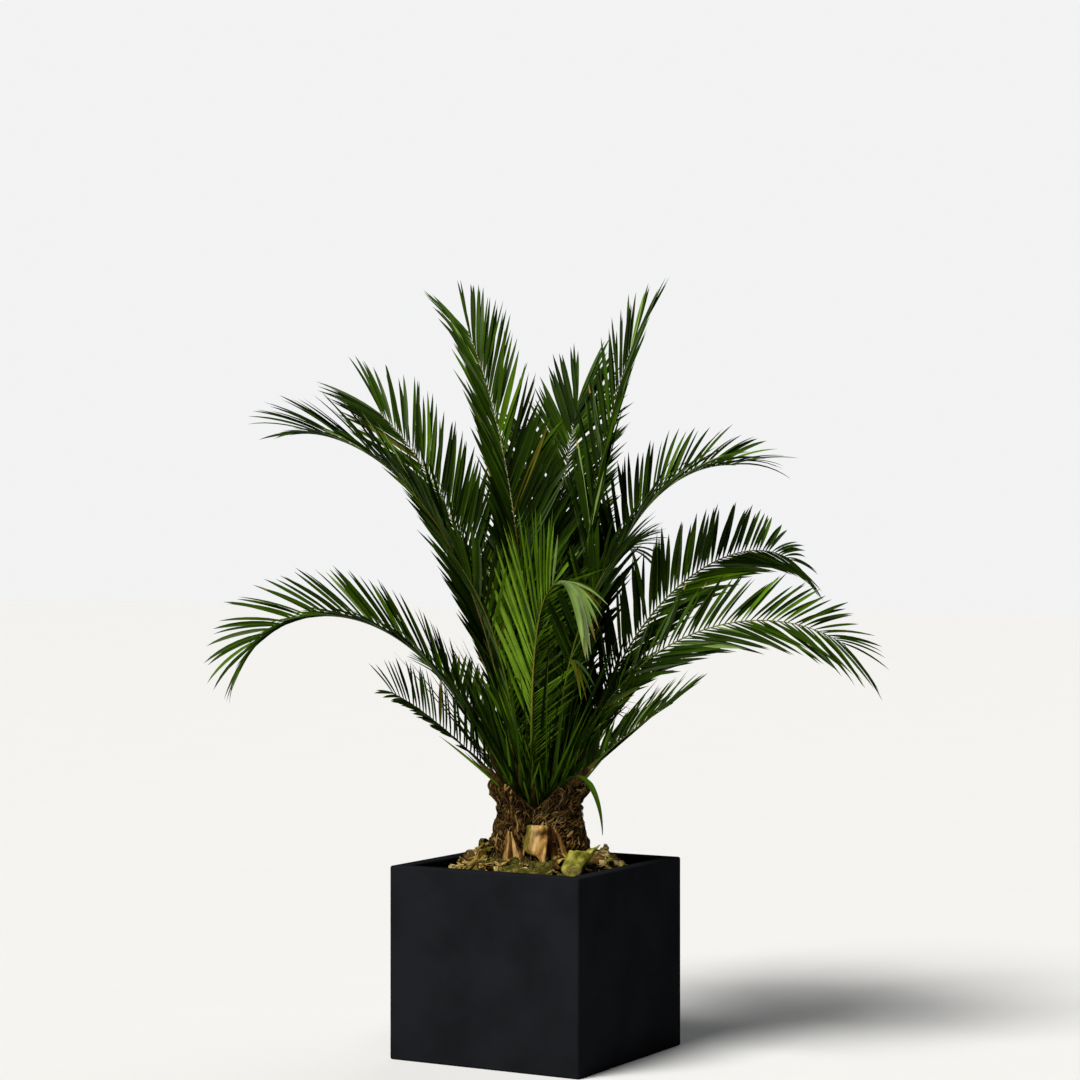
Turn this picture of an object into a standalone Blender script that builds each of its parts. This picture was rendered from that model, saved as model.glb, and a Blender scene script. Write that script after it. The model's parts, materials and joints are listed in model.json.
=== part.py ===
"""Pygmy date palm in a square planter. Metres, +Z up, origin at the centre of the planter's underside.

The planter's sides lie along X and Y. Headings are degrees turned left from +X, as seen from above.
"""

import math
from collections import namedtuple

import bmesh
import bpy
import numpy as np
from mathutils import Vector
from mathutils.bvhtree import BVHTree

# Planter: a square box, open at the top.
PLANTER_SIDE = 0.400
PLANTER_HEIGHT = 0.358
PLANTER_WALL = 0.027
PLANTER_EDGE = 0.004
SOIL_BELOW_RIM = 0.045
GAP = 0.0003

# Trunk: a squat stump whose foot flares and whose head widens into lobes round the leaf bases. It stands
# a little off the planter's middle. The profile gives the radius at heights above the soil.
SOIL_TOP = PLANTER_HEIGHT - SOIL_BELOW_RIM
TRUNK_OFFSET = (0.0035, 0.002)
TRUNK_SIDES = 32
TRUNK_PROFILE = (
    (0.000, 0.112),
    (0.030, 0.102),
    (0.060, 0.092),
    (0.095, 0.085),
    (0.118, 0.080),
    (0.137, 0.0735),
    (0.162, 0.079),
    (0.184, 0.092),
    (0.195, 0.087),
    (0.204, 0.072),
)
TRUNK_RING = 0.0175
WAIST = SOIL_TOP + 0.137
LOBE_TOP = SOIL_TOP + 0.204
BOWL_FLOOR = SOIL_TOP + 0.150
# Notches in the rim of the head: heading, depth and half width in degrees.
NOTCHES = (
    (293, 0.058, 40),
    (117, 0.024, 34),
    (243, 0.016, 17),
    (352, 0.016, 17),
    (161, 0.010, 14),
    (72, 0.010, 14),
)
LEAF_BASE_RELIEF = 0.0022

# Dry leaf bases that cling to the lower trunk: heading, lowest and highest ring, half span in sides.
HUSKS = ((306, 2, 7, 3), (253, 2, 5, 1), (82, 2, 6, 3), (165, 2, 5, 2))
HUSK_THICK = 0.009
HUSK_EDGE_LOSS = 0.75
HUSK_TOP_LOSS = 0.55

# Bed of moss and bark round the foot of the trunk.
BED_RADIUS = 0.162
BED_HEIGHT = 0.056
BED_EDGE = 0.007
BED_WAVE = 0.04
BED_ROUGH = 0.004
# Share of the way out from the trunk, and share of the full height.
BED_PROFILE = ((0.0, 0.0), (0.0, 1.0), (0.35, 0.82), (0.72, 0.40), (1.0, 0.0))

# A cut leaf stalk that leans in the bed in front of the trunk.
STALK_SIDES = 6
STALK_HEADING = 328
STALK_REACH = 0.129
STALK_RADIUS = 0.0235
STALK_LENGTH = 0.039
STALK_LEAN = 30
STALK_SLANT = 0.5
# Share of the length, and share of the radius there.
STALK_PROFILE = ((0.0, 1.0), (0.55, 0.92), (1.0, 0.85))

# Fronds. A rib leaves its foot at `heading` and `rise`, and turns down by `droop` degrees and to the left
# by `sweep` from foot to tip, most of it near the tip where `bend` is high. `leaf` is the longest leaflet,
# `lift` folds the two rows of leaflets up from the flat, and `roll` turns the blade about its rib.
Frond = namedtuple("Frond", "name heading radius height rise droop bend sweep length leaf lift roll")
FRONDS = (
    Frond("left_arch", 226, 0.072, 0.520, 61, 132, 2.1, 4, 0.69, 0.162, 42, 5),
    Frond("left_high", 233, 0.045, 0.512, 79, 75, 2.0, 18, 0.88, 0.178, 25, 30),
    Frond("left_rear", 178, 0.052, 0.512, 79, 50, 2.0, 0, 0.87, 0.178, 15, 45),
    Frond("top_left", 170, 0.030, 0.500, 90, 58, 2.0, -32, 1.03, 0.178, 32, 30),
    Frond("centre", 115, 0.022, 0.500, 67, 17, 1.9, -14, 0.96, 0.188, 15, 0),
    Frond("top_right", 55, 0.030, 0.502, 81, 38, 3.4, 37, 0.97, 0.162, 30, 0),
    Frond("right_high", 50, 0.053, 0.512, 80, 93, 3.2, -13, 0.76, 0.162, 42, 0),
    Frond("right_mid", 32, 0.075, 0.520, 75, 102, 1.6, 50, 0.76, 0.167, 20, -35),
    Frond("right_arch", 12, 0.064, 0.516, 73, 113, 1.2, 37, 0.71, 0.162, 8, -36),
    Frond("left_low", 243, 0.086, 0.509, 41, 28, 1.8, 26, 0.37, 0.118, 35, 25),
    Frond("right_low", 352, 0.084, 0.513, 41, 12, 1.0, 10, 0.29, 0.118, 35, -20),
    Frond("front", 286, 0.045, 0.474, 76, 119, 6.8, 51.5, 0.498, 0.200, 35, -20),
    Frond("rear_high", 140, 0.046, 0.500, 92, 80, 2.6, -20, 0.80, 0.167, 20, 0),
    Frond("rear", 118, 0.070, 0.515, 62, 112, 1.9, -10, 0.70, 0.162, 30, 0),
    Frond("rear_left", 143, 0.070, 0.520, 70, 100, 2.2, -12, 0.70, 0.162, 30, 0),
    Frond("rear_right", 92, 0.066, 0.518, 70, 104, 2.1, 12, 0.74, 0.162, 30, 0),
    Frond("rear_low_left", 161, 0.080, 0.515, 48, 40, 1.4, -16, 0.38, 0.118, 35, 0),
    Frond("rear_low_right", 72, 0.080, 0.515, 50, 44, 1.4, 14, 0.37, 0.118, 35, 0),
    Frond("front_left", 263, 0.052, 0.492, 80, 36, 1.8, -14, 0.50, 0.162, 30, 0),
    Frond("front_right", 328, 0.050, 0.494, 80, 42, 1.8, 16, 0.52, 0.162, 30, 0),
    Frond("heart_left", 270, 0.012, 0.495, 87, 16, 2.0, 0, 0.46, 0.118, 30, 0),
    Frond("heart_right", 5, 0.033, 0.497, 83, 24, 2.0, 0, 0.44, 0.118, 30, 0),
)
# A single leaf that hangs down beside the trunk.
HANGING_LEAF = Frond("hanging_leaf", 333, 0.091, 0.509, 68, 154, 0.54, -6, 0.188, 0, 0, 0)
HANGING_WIDTHS = (0.005, 0.015, 0.0015)
PETIOLE_SHARE = 0.09
LEAFLET_SPACING = 0.037
SPLIT_DROOP = 90
SPLIT_SHARE = 0.56
RIB_WIDTH = (0.015, 0.0035)
RIB_DEPTH = (0.009, 0.0030)
RIB_EASE = 0.55
FORWARD_ANGLE = (44, 18)
ANGLE_EASE = 2.0
LEAFLET_WIDTH = 0.027
LONG_LEAFLET = 0.15
WIDEST_AT = 0.42
LEAFLET_THICK = 0.0022
LEAFLET_FILL = 0.72
LEAFLET_SAG = 0.07
# Shares of its full length that a leaflet is tried at, until it is clear of its neighbours.
SHORTENINGS = (1.0, 0.85, 0.7, 0.55, 0.42)
FULLEST = 0.4
SHORTER_AT_FOOT = 0.50
SHORTER_AT_TIP = 0.46
CLEARANCE = 0.0007
STUB_RADIUS = 0.0095
STUB_LENGTH = 0.065
STUB_TAPER = 0.7
STUB_FLATNESS = 0.7

SEED = 11


def clear_scene():
    for obj in list(bpy.data.objects):
        bpy.data.objects.remove(obj, do_unlink=True)


def material(name, colour, roughness):
    made = bpy.data.materials.new(name)
    made.use_nodes = True
    shader = made.node_tree.nodes["Principled BSDF"]
    shader.inputs["Base Color"].default_value = (*colour, 1.0)
    shader.inputs["Roughness"].default_value = roughness
    shader.inputs["Metallic"].default_value = 0.0
    return made


def add_mesh(name, points, faces, finish, collection):
    """A new object from points and faces, with its faces turned outwards."""
    mesh = bpy.data.meshes.new(name)
    mesh.from_pydata([tuple(map(float, point)) for point in points], [], faces)
    work = bmesh.new()
    work.from_mesh(mesh)
    bmesh.ops.recalc_face_normals(work, faces=work.faces)
    if work.calc_volume(signed=True) < 0.0:
        bmesh.ops.reverse_faces(work, faces=work.faces)
    work.to_mesh(mesh)
    work.free()
    mesh.materials.append(finish)
    obj = bpy.data.objects.new(name, mesh)
    collection.objects.link(obj)
    return obj


def loft(rings, close_start=True, close_end=True):
    """Points and faces of a closed skin through rings that have the same number of points."""
    sides = len(rings[0])
    points = [point for ring in rings for point in ring]
    faces = []
    for k in range(len(rings) - 1):
        for j in range(sides):
            near, far = k * sides, (k + 1) * sides
            after = (j + 1) % sides
            faces.append((near + j, near + after, far + after, far + j))
    if close_start:
        faces.append(tuple(range(sides)))
    if close_end:
        faces.append(tuple(range(len(points) - sides, len(points))))
    return points, faces


def surface_tree(points, faces):
    return BVHTree.FromPolygons([tuple(point) for point in points], faces)


def tree_of(obj):
    return surface_tree([v.co for v in obj.data.vertices], [tuple(p.vertices) for p in obj.data.polygons])


# Planter and soil


def add_box(name, side, low, high, finish, collection):
    work = bmesh.new()
    bmesh.ops.create_cube(work, size=1.0)
    bmesh.ops.scale(work, vec=(side, side, high - low), verts=work.verts)
    bmesh.ops.translate(work, vec=(0, 0, (low + high) / 2), verts=work.verts)
    mesh = bpy.data.meshes.new(name)
    work.to_mesh(mesh)
    work.free()
    mesh.materials.append(finish)
    obj = bpy.data.objects.new(name, mesh)
    collection.objects.link(obj)
    return obj


def add_planter(collection):
    finish = material("planter_black", (0.012, 0.013, 0.015), 0.55)
    planter = add_box("planter", PLANTER_SIDE, 0.0, PLANTER_HEIGHT, finish, collection)
    work = bmesh.new()
    work.from_mesh(planter.data)
    lid = [face for face in work.faces if face.normal.z > 0.5]
    bmesh.ops.delete(work, geom=lid, context="FACES_ONLY")
    work.to_mesh(planter.data)
    work.free()
    shell = planter.modifiers.new("Wall", "SOLIDIFY")
    shell.thickness = PLANTER_WALL
    shell.offset = -1.0
    shell.use_even_offset = True
    edge = planter.modifiers.new("Edges", "BEVEL")
    edge.width = PLANTER_EDGE
    edge.segments = 2


def add_soil(collection):
    finish = material("soil_brown", (0.045, 0.03, 0.018), 0.95)
    side = PLANTER_SIDE - 2 * (PLANTER_WALL + GAP)
    soil = add_box("soil", side, PLANTER_WALL + GAP, SOIL_TOP - GAP, finish, collection)
    edge = soil.modifiers.new("Edges", "BEVEL")
    edge.width = PLANTER_EDGE + GAP
    edge.segments = 2


# Trunk


def trunk_radius(heading, height):
    """The trunk's radius from its profile, with a low spiral relief left by old leaf bases."""
    above = height - SOIL_TOP
    radius = np.interp(above, *zip(*TRUNK_PROFILE))
    turn = math.radians(heading)
    scales = math.cos(8 * turn + above * 150) * math.cos(5 * turn - above * 190)
    oval = 1.0 - 0.03 * math.cos(2 * (turn - math.radians(120)))
    return radius * oval + LEAF_BASE_RELIEF * scales


def rim_height(heading):
    """The top of the head: high on the lobes and low in the notches between them."""
    height = LOBE_TOP
    for middle, depth, half_width in NOTCHES:
        away = abs((heading - middle + 180) % 360 - 180)
        height -= depth * max(0.0, 1.0 - away / half_width)
    return height


def around(heading, reach, height):
    """A point at a reach from the trunk's axis."""
    turn = math.radians(heading)
    x, y = TRUNK_OFFSET
    return Vector((x + reach * math.cos(turn), y + reach * math.sin(turn), height))


def on_trunk(heading, height, outside=0.0, share=1.0):
    return around(heading, share * trunk_radius(heading, height) + outside, height)


def trunk_headings():
    return [360 * j / TRUNK_SIDES for j in range(TRUNK_SIDES)]


def trunk_heights():
    """Level rings from the soil to the waist."""
    count = int((WAIST - SOIL_TOP) / TRUNK_RING) + 1
    return [SOIL_TOP + k * (WAIST - SOIL_TOP) / (count - 1) for k in range(count)]


def add_trunk(collection, feet):
    """The trunk, with a short leaf base under the foot of each frond. `feet` holds a frond and a radius."""
    finish = material("trunk_brown", (0.09, 0.045, 0.02), 0.9)
    rings = [[on_trunk(heading, height) for heading in trunk_headings()] for height in trunk_heights()]
    for share in (0.33, 0.67, 1.0):
        rings.append(
            [on_trunk(h, WAIST + share * (rim_height(h) - WAIST)) for h in trunk_headings()]
        )
    for inward, sink in ((0.84, 0.40), (0.55, 0.90), (0.22, 1.0)):
        ring = []
        for heading in trunk_headings():
            rim = rim_height(heading)
            point = on_trunk(heading, rim, share=inward)
            point.z = rim + sink * (BOWL_FLOOR - rim)
            ring.append(point)
        rings.append(ring)
    points, faces = loft(rings)
    trunk = add_mesh("trunk", points, faces, finish, collection)
    stubs = bpy.data.collections.new("stubs")
    bpy.context.scene.collection.children.link(stubs)
    for frond, stub_radius in feet:
        forward, side, normal = rib_directions(frond, 0.0)
        end = rib_foot(frond) - forward * GAP
        start = end - forward * STUB_LENGTH
        stub_rings = []
        for centre, radius in ((start, STUB_TAPER * stub_radius), (end, stub_radius)):
            turns = [math.pi / 3 * j for j in range(6)]
            stub_rings.append(
                [
                    centre + radius * (side * math.cos(turn) + STUB_FLATNESS * normal * math.sin(turn))
                    for turn in turns
                ]
            )
        stub_points, stub_faces = loft(stub_rings)
        add_mesh(f"stub_{frond.name}", stub_points, stub_faces, finish, stubs)
    join = trunk.modifiers.new("Leaf bases", "BOOLEAN")
    join.operation = "UNION"
    join.operand_type = "COLLECTION"
    join.collection = stubs
    apply_join(trunk, stubs)
    return trunk


def apply_join(obj, helpers):
    """Keeps the joined mesh and removes the collection of shapes that went into it."""
    graph = bpy.context.evaluated_depsgraph_get()
    joined = bpy.data.meshes.new_from_object(obj.evaluated_get(graph))
    obj.modifiers.clear()
    obj.data = joined
    for helper in list(helpers.objects):
        bpy.data.objects.remove(helper, do_unlink=True)
    bpy.data.collections.remove(helpers)


def add_husks(collection):
    finish = material("husk_tan", (0.30, 0.14, 0.05), 0.85)
    heights = trunk_heights()
    step = 360 / TRUNK_SIDES
    for k, (heading, low, high, half) in enumerate(HUSKS):
        middle = round(heading / step)
        rings = []
        for row in range(low, high + 1):
            rise = (row - low) / (high - low)
            inner, outer = [], []
            for column in range(-half, half + 1):
                angle = (middle + column) * step
                across = column / half
                thick = HUSK_THICK * (1.0 - HUSK_EDGE_LOSS * across**2) * (1.0 - HUSK_TOP_LOSS * rise)
                inner.append(on_trunk(angle, heights[row], outside=GAP))
                outer.append(on_trunk(angle, heights[row], outside=GAP + thick))
            rings.append(inner + outer[::-1])
        add_mesh(f"husk_{k + 1}", *loft(rings), finish, collection)


def add_bed(collection):
    """The bed is a ring that fits round the trunk and slopes down to the soil."""
    finish = material("moss_olive", (0.14, 0.13, 0.03), 0.95)
    rng = np.random.default_rng(SEED)
    floor = SOIL_TOP + GAP
    clear = HUSK_THICK + 4 * GAP
    rings = []
    for share, high in BED_PROFILE:
        ring = []
        for heading in trunk_headings():
            inner = trunk_radius(heading, SOIL_TOP) + clear
            outer = BED_RADIUS * (1.0 + BED_WAVE * math.sin(math.radians(3 * heading)))
            rough = rng.uniform(-BED_ROUGH, BED_ROUGH) if 0.0 < high < 1.0 else 0.0
            reach = inner + share * (outer - inner)
            height = floor + (BED_EDGE if share == 1.0 else high * BED_HEIGHT + rough)
            ring.append(around(heading, reach, height))
        rings.append(ring)
    rings.append([Vector((point.x, point.y, floor)) for point in rings[-1]])
    points, faces = loft(rings, close_start=False, close_end=False)
    sides, last = TRUNK_SIDES, len(points) - TRUNK_SIDES
    for j in range(sides):
        after = (j + 1) % sides
        faces.append((last + j, last + after, after, j))
    return add_mesh("moss_bed", points, faces, finish, collection)


def seat(points, faces, below):
    """Lowers the points in small steps until the next step would touch the surface below."""
    step = Vector((0, 0, GAP))
    while not surface_tree([point - step for point in points], faces).overlap(below):
        points = [point - step for point in points]
    return points


def add_stalk(collection, bed):
    finish = material("stalk_green", (0.30, 0.34, 0.08), 0.7)
    base = around(STALK_HEADING, STALK_REACH, LOBE_TOP)
    side_turn = math.radians(STALK_HEADING + 70)
    lean = Vector((math.cos(side_turn), math.sin(side_turn), 0)) * math.tan(math.radians(STALK_LEAN))
    rings = []
    for share, radius in STALK_PROFILE:
        centre = base + (Vector((0, 0, 1)) + lean) * (share * STALK_LENGTH)
        ring = []
        for j in range(STALK_SIDES):
            spin = 2 * math.pi * j / STALK_SIDES
            slant = STALK_SLANT * share * math.cos(spin - side_turn)
            reach = Vector((math.cos(spin), math.sin(spin), slant)) * (STALK_RADIUS * radius)
            ring.append(centre + reach)
        rings.append(ring)
    points, faces = loft(rings)
    add_mesh("cut_stalk", seat(points, faces, tree_of(bed)), faces, finish, collection)


# Fronds


def rib_directions(frond, t):
    """Unit vectors at a share t of the rib: along it, across the blade, and out of its upper side."""
    rise = math.radians(frond.rise - frond.droop * t**frond.bend)
    turn = math.radians(frond.heading + frond.sweep * t)
    forward = Vector((math.cos(rise) * math.cos(turn), math.cos(rise) * math.sin(turn), math.sin(rise)))
    level = Vector((math.sin(turn), -math.cos(turn), 0.0))
    upper = level.cross(forward)
    roll = math.radians(frond.roll) * min(1.0, 2.0 * t)
    side = level * math.cos(roll) + upper * math.sin(roll)
    return forward, side, side.cross(forward)


def rib_foot(frond):
    return around(frond.heading, frond.radius, frond.height)


def rib_points(frond, shares, steps=96):
    """Points of the rib at the given shares of its length, by walking along it in short steps."""
    path = [rib_foot(frond)]
    for k in range(steps):
        path.append(path[-1] + rib_directions(frond, (k + 0.5) / steps)[0] * (frond.length / steps))
    points = []
    for t in shares:
        k = min(int(t * steps), steps - 1)
        points.append(path[k].lerp(path[k + 1], t * steps - k))
    return points


def stations(frond):
    """Shares of the rib's length: two on the bare petiole, then one at each pair of leaflets."""
    pairs = max(6, round(frond.length * (1 - PETIOLE_SHARE) / LEAFLET_SPACING))
    leafy = [PETIOLE_SHARE + (1 - PETIOLE_SHARE) * k / pairs for k in range(pairs + 1)]
    return [0.0, PETIOLE_SHARE / 2] + leafy


def spacing(frond):
    leafy = frond.length * (1 - PETIOLE_SHARE)
    return leafy / (len(stations(frond)) - 3)


def between(ends, share):
    return ends[0] + (ends[1] - ends[0]) * share


def rib_half_sizes(t):
    """Half the rib's width and depth, which shrink fast above the foot."""
    ease = t**RIB_EASE
    return between(RIB_WIDTH, ease) / 2, between(RIB_DEPTH, ease) / 2


def rib_ring(frond, t, point, grow=0.0):
    """Four corners of the rib's section: upper left, upper right, lower right, lower left."""
    _, side, normal = rib_directions(frond, t)
    half_width, half_depth = (half + grow for half in rib_half_sizes(t))
    corners = ((-1, 1), (1, 1), (1, -1), (-1, -1))
    return [point + side * (half_width * a) + normal * (half_depth * b) for a, b in corners]


def leaflet_length(frond, u):
    """Leaflets grow from the petiole to the fullest part of the blade and shorten to its tip."""
    if u < FULLEST:
        return frond.leaf * (1.0 - SHORTER_AT_FOOT * ((FULLEST - u) / FULLEST) ** 2)
    return frond.leaf * (1.0 - SHORTER_AT_TIP * ((u - FULLEST) / (1 - FULLEST)) ** 1.5)


def leaflet_section(frond, u, t, point, hand, length, grow=0.0):
    """The leaflet's widest section as four corners, and its tip. It leaves room for the next leaflet."""
    forward, side, normal = rib_directions(frond, t)
    angle = math.radians(between(FORWARD_ANGLE, u**ANGLE_EASE))
    lift = math.radians(frond.lift)
    outward = side * (hand * math.cos(lift)) + normal * math.sin(lift)
    along = forward * math.cos(angle) + outward * math.sin(angle)
    across = forward * math.sin(angle) - outward * math.cos(angle)
    up = along.cross(across) * hand
    reach = WIDEST_AT * length
    rib = rib_half_sizes(t)[0]
    room = (reach * math.sin(angle) - rib) / (reach - rib * math.sin(angle))
    width = min(LEAFLET_WIDTH / 2 * length / LONG_LEAFLET, LEAFLET_FILL * spacing(frond) / 2 * room) + grow
    thick = LEAFLET_THICK / 2 + grow
    middle = point + along * reach - Vector((0, 0, LEAFLET_SAG * WIDEST_AT**2 * length))
    tip = point + along * length - Vector((0, 0, LEAFLET_SAG * length))
    signs = ((-1, 1), (1, 1), (1, -1), (-1, -1))
    return [middle + across * (width * a) + up * (thick * b) for a, b in signs], tip


# A leaflet's corners: 0 to 3 on the rib, 4 to 7 where it is widest, and 8 at the tip.
LEAFLET_FACES = (
    (0, 1, 5, 4),
    (1, 2, 6, 5),
    (2, 3, 7, 6),
    (3, 0, 4, 7),
    (4, 5, 8),
    (5, 6, 8),
    (6, 7, 8),
    (7, 4, 8),
)
OUTER_FACES = LEAFLET_FACES[4:]


class Blade:
    """One frond, or one part of a frond that is split at its bend: a rib with leaflets on both sides."""

    def __init__(self, frond, name, shares):
        self.frond = frond
        self.name = name
        self.shares = shares
        self.centres = rib_points(frond, shares)
        if shares[0] > 0.0:
            self.centres[0] += rib_directions(frond, shares[0])[0] * GAP
        self.rings = [rib_ring(frond, t, point) for t, point in zip(shares, self.centres)]
        self.leaflets = {}

    def rib_tree(self, grow=CLEARANCE):
        rings = [rib_ring(self.frond, t, p, grow) for t, p in zip(self.shares, self.centres)]
        return surface_tree(*loft(rings))

    def base(self, k, hand):
        """Corners of the rib's side face from ring k to the next, where a leaflet grows."""
        upper, lower = (1, 2) if hand > 0 else (0, 3)
        near, far = self.rings[k], self.rings[k + 1]
        return [near[upper], far[upper], far[lower], near[lower]]

    def leaflet(self, k, hand, shorten, grow=0.0):
        t = (self.shares[k] + self.shares[k + 1]) / 2
        u = (t - PETIOLE_SHARE) / (1 - PETIOLE_SHARE)
        length = leaflet_length(self.frond, u) * shorten
        point = (self.centres[k] + self.centres[k + 1]) / 2
        corners, tip = leaflet_section(self.frond, u, t, point, hand, length, grow)
        return self.base(k, hand) + corners + [tip]

    def grow_leaflets(self, obstacles):
        """Each leaflet is shortened until it is clear of what grew before it, or left out."""
        own_tips = []
        for k in range(len(self.shares) - 1):
            if self.shares[k] < PETIOLE_SHARE - 1e-6:
                continue
            for hand in (-1, 1):
                for shorten in SHORTENINGS:
                    points = self.leaflet(k, hand, shorten, CLEARANCE)
                    shape = surface_tree(points, LEAFLET_FACES)
                    outer = surface_tree(points, OUTER_FACES)
                    meets_others = any(shape.overlap(tree) for tree in obstacles)
                    if not meets_others and not any(outer.overlap(tip) for tip in own_tips):
                        self.leaflets[k, hand] = shorten
                        own_tips.append(surface_tree(self.leaflet(k, hand, shorten), OUTER_FACES))
                        break

    def mesh(self):
        """Points and faces of the rib, with a leaflet in place of each side face that carries one."""
        points, faces = loft(self.rings)
        for (k, hand), shorten in self.leaflets.items():
            near, far = 4 * k, 4 * (k + 1)
            upper, lower = (1, 2) if hand > 0 else (0, 3)
            base = (near + upper, far + upper, far + lower, near + lower)
            faces = [face for face in faces if set(face) != set(base)]
            first = len(points)
            points += self.leaflet(k, hand, shorten)[4:]
            number = base + tuple(range(first, first + 5))
            faces += [tuple(number[j] for j in face) for face in LEAFLET_FACES]
        return points, faces

    def leaflet_tree(self):
        points, faces = [], []
        for (k, hand), shorten in self.leaflets.items():
            first = len(points)
            points += self.leaflet(k, hand, shorten)
            faces += [tuple(first + j for j in face) for face in LEAFLET_FACES]
        return surface_tree(points, faces)


def blades_of(frond):
    """A frond is one blade, or two where it arches far enough to bend round a wide gap."""
    shares = stations(frond)
    if frond.droop < SPLIT_DROOP:
        return [Blade(frond, f"frond_{frond.name}", shares)]
    cut = round(len(shares) * SPLIT_SHARE)
    return [
        Blade(frond, f"frond_{frond.name}_rise", shares[: cut + 1]),
        Blade(frond, f"frond_{frond.name}_fall", shares[cut:]),
    ]


def add_fronds(collection, trunk):
    finish = material("leaf_green", (0.04, 0.12, 0.02), 0.45)
    trunk_tree = tree_of(trunk)
    blades = [blade for frond in FRONDS for blade in blades_of(frond)]
    ribs = {blade.name: blade.rib_tree() for blade in blades}
    grown = []
    for blade in blades:
        other_ribs = [tree for name, tree in ribs.items() if name != blade.name]
        blade.grow_leaflets([trunk_tree] + other_ribs + grown)
        grown.append(blade.leaflet_tree())
        add_mesh(blade.name, *blade.mesh(), finish, collection)


def add_hanging_leaf(collection):
    finish = material("leaf_light_green", (0.08, 0.20, 0.03), 0.45)
    leaf = HANGING_LEAF
    shares = [k / 8 for k in range(9)]
    rings = []
    for t, point in zip(shares, rib_points(leaf, shares)):
        _, side, normal = rib_directions(leaf, t)
        half_width = np.interp(t, (0.0, 0.45, 1.0), HANGING_WIDTHS) / 2
        half_thick = LEAFLET_THICK / 2 * (1.0 - 0.5 * t)
        corners = ((-1, 1), (1, 1), (1, -1), (-1, -1))
        rings.append([point + side * (half_width * a) + normal * (half_thick * b) for a, b in corners])
    add_mesh(leaf.name, *loft(rings), finish, collection)


def main():
    clear_scene()
    palm = bpy.data.collections.new("pygmy_date_palm")
    bpy.context.scene.collection.children.link(palm)
    add_planter(palm)
    add_soil(palm)
    feet = [(frond, STUB_RADIUS) for frond in FRONDS]
    trunk = add_trunk(palm, feet + [(HANGING_LEAF, HANGING_WIDTHS[0])])
    add_husks(palm)
    bed = add_bed(palm)
    add_stalk(palm, bed)
    add_hanging_leaf(palm)
    add_fronds(palm, trunk)


main()
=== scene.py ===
# %% [markdown]
# # Pygmy date palm in a square planter
# A pygmy date palm has a squat trunk wrapped in old leaf bases and a fountain of feather-shaped fronds.
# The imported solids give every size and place. They are loaded first, as a frame that never moves, and
# each part of the plant is then modelled finely inside the space that its solid holds.

# %% Load the frame
import json
import math
from collections import namedtuple

import bpy
import numpy as np
from mathutils.bvhtree import BVHTree
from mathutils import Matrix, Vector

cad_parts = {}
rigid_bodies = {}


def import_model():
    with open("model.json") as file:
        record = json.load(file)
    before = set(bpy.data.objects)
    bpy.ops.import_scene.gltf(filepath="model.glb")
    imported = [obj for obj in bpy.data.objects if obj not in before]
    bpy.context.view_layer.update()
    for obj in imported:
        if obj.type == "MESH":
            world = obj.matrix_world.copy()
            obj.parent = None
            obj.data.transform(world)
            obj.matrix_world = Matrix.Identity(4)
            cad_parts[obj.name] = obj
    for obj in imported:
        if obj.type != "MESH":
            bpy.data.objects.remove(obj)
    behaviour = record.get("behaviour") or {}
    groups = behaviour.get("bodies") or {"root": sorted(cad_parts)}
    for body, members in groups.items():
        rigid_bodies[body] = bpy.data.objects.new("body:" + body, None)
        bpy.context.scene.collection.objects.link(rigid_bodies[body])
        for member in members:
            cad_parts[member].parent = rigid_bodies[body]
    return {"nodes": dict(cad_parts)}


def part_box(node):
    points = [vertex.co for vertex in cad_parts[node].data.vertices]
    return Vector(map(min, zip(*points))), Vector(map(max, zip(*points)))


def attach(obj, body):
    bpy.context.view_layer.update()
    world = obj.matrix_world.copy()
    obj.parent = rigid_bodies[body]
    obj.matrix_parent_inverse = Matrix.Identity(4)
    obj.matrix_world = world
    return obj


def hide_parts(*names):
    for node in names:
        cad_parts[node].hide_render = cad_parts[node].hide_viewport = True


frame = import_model()
for name in ("Cube", "Light", "Camera"):
    if name in bpy.data.objects and name not in frame["nodes"]:
        bpy.data.objects.remove(bpy.data.objects[name])
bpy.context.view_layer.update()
print("solids in the frame:", len(frame["nodes"]))

# %% [markdown]
# ## Small helpers
# Operators act on whatever is selected, so nothing may stay selected from an earlier step. A finished
# piece has its place in its mesh and rides on the one body of this part.


# %% Selecting and editing
def deselect():
    if bpy.context.object is not None and bpy.context.object.mode != "OBJECT":
        bpy.ops.object.mode_set(mode="OBJECT")
    bpy.ops.object.select_all(action="DESELECT")


def activate(obj):
    deselect()
    obj.select_set(True)
    bpy.context.view_layer.objects.active = obj


def added(name, operator, **settings):
    """What an add operator makes, under its own name."""
    deselect()
    operator(**settings)
    bpy.context.object.name = name
    return bpy.context.object


def start_edit(obj):
    """Edit mode with everything selected."""
    activate(obj)
    bpy.ops.object.mode_set(mode="EDIT")
    bpy.ops.mesh.select_all(action="SELECT")


def end_edit():
    """Turns every face outwards and goes back to object mode."""
    bpy.ops.mesh.select_all(action="SELECT")
    bpy.ops.mesh.normals_make_consistent(inside=False)
    bpy.ops.object.mode_set(mode="OBJECT")


def select_faces(obj, test):
    """In edit mode, selects just the faces whose centre and normal pass the test."""
    start_edit(obj)
    bpy.ops.mesh.select_mode(type="FACE")
    bpy.ops.mesh.select_all(action="DESELECT")
    bpy.ops.object.mode_set(mode="OBJECT")
    for face in obj.data.polygons:
        face.select = bool(test(face.center, face.normal))
    bpy.ops.object.mode_set(mode="EDIT")


print("editing helpers are ready")


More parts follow.
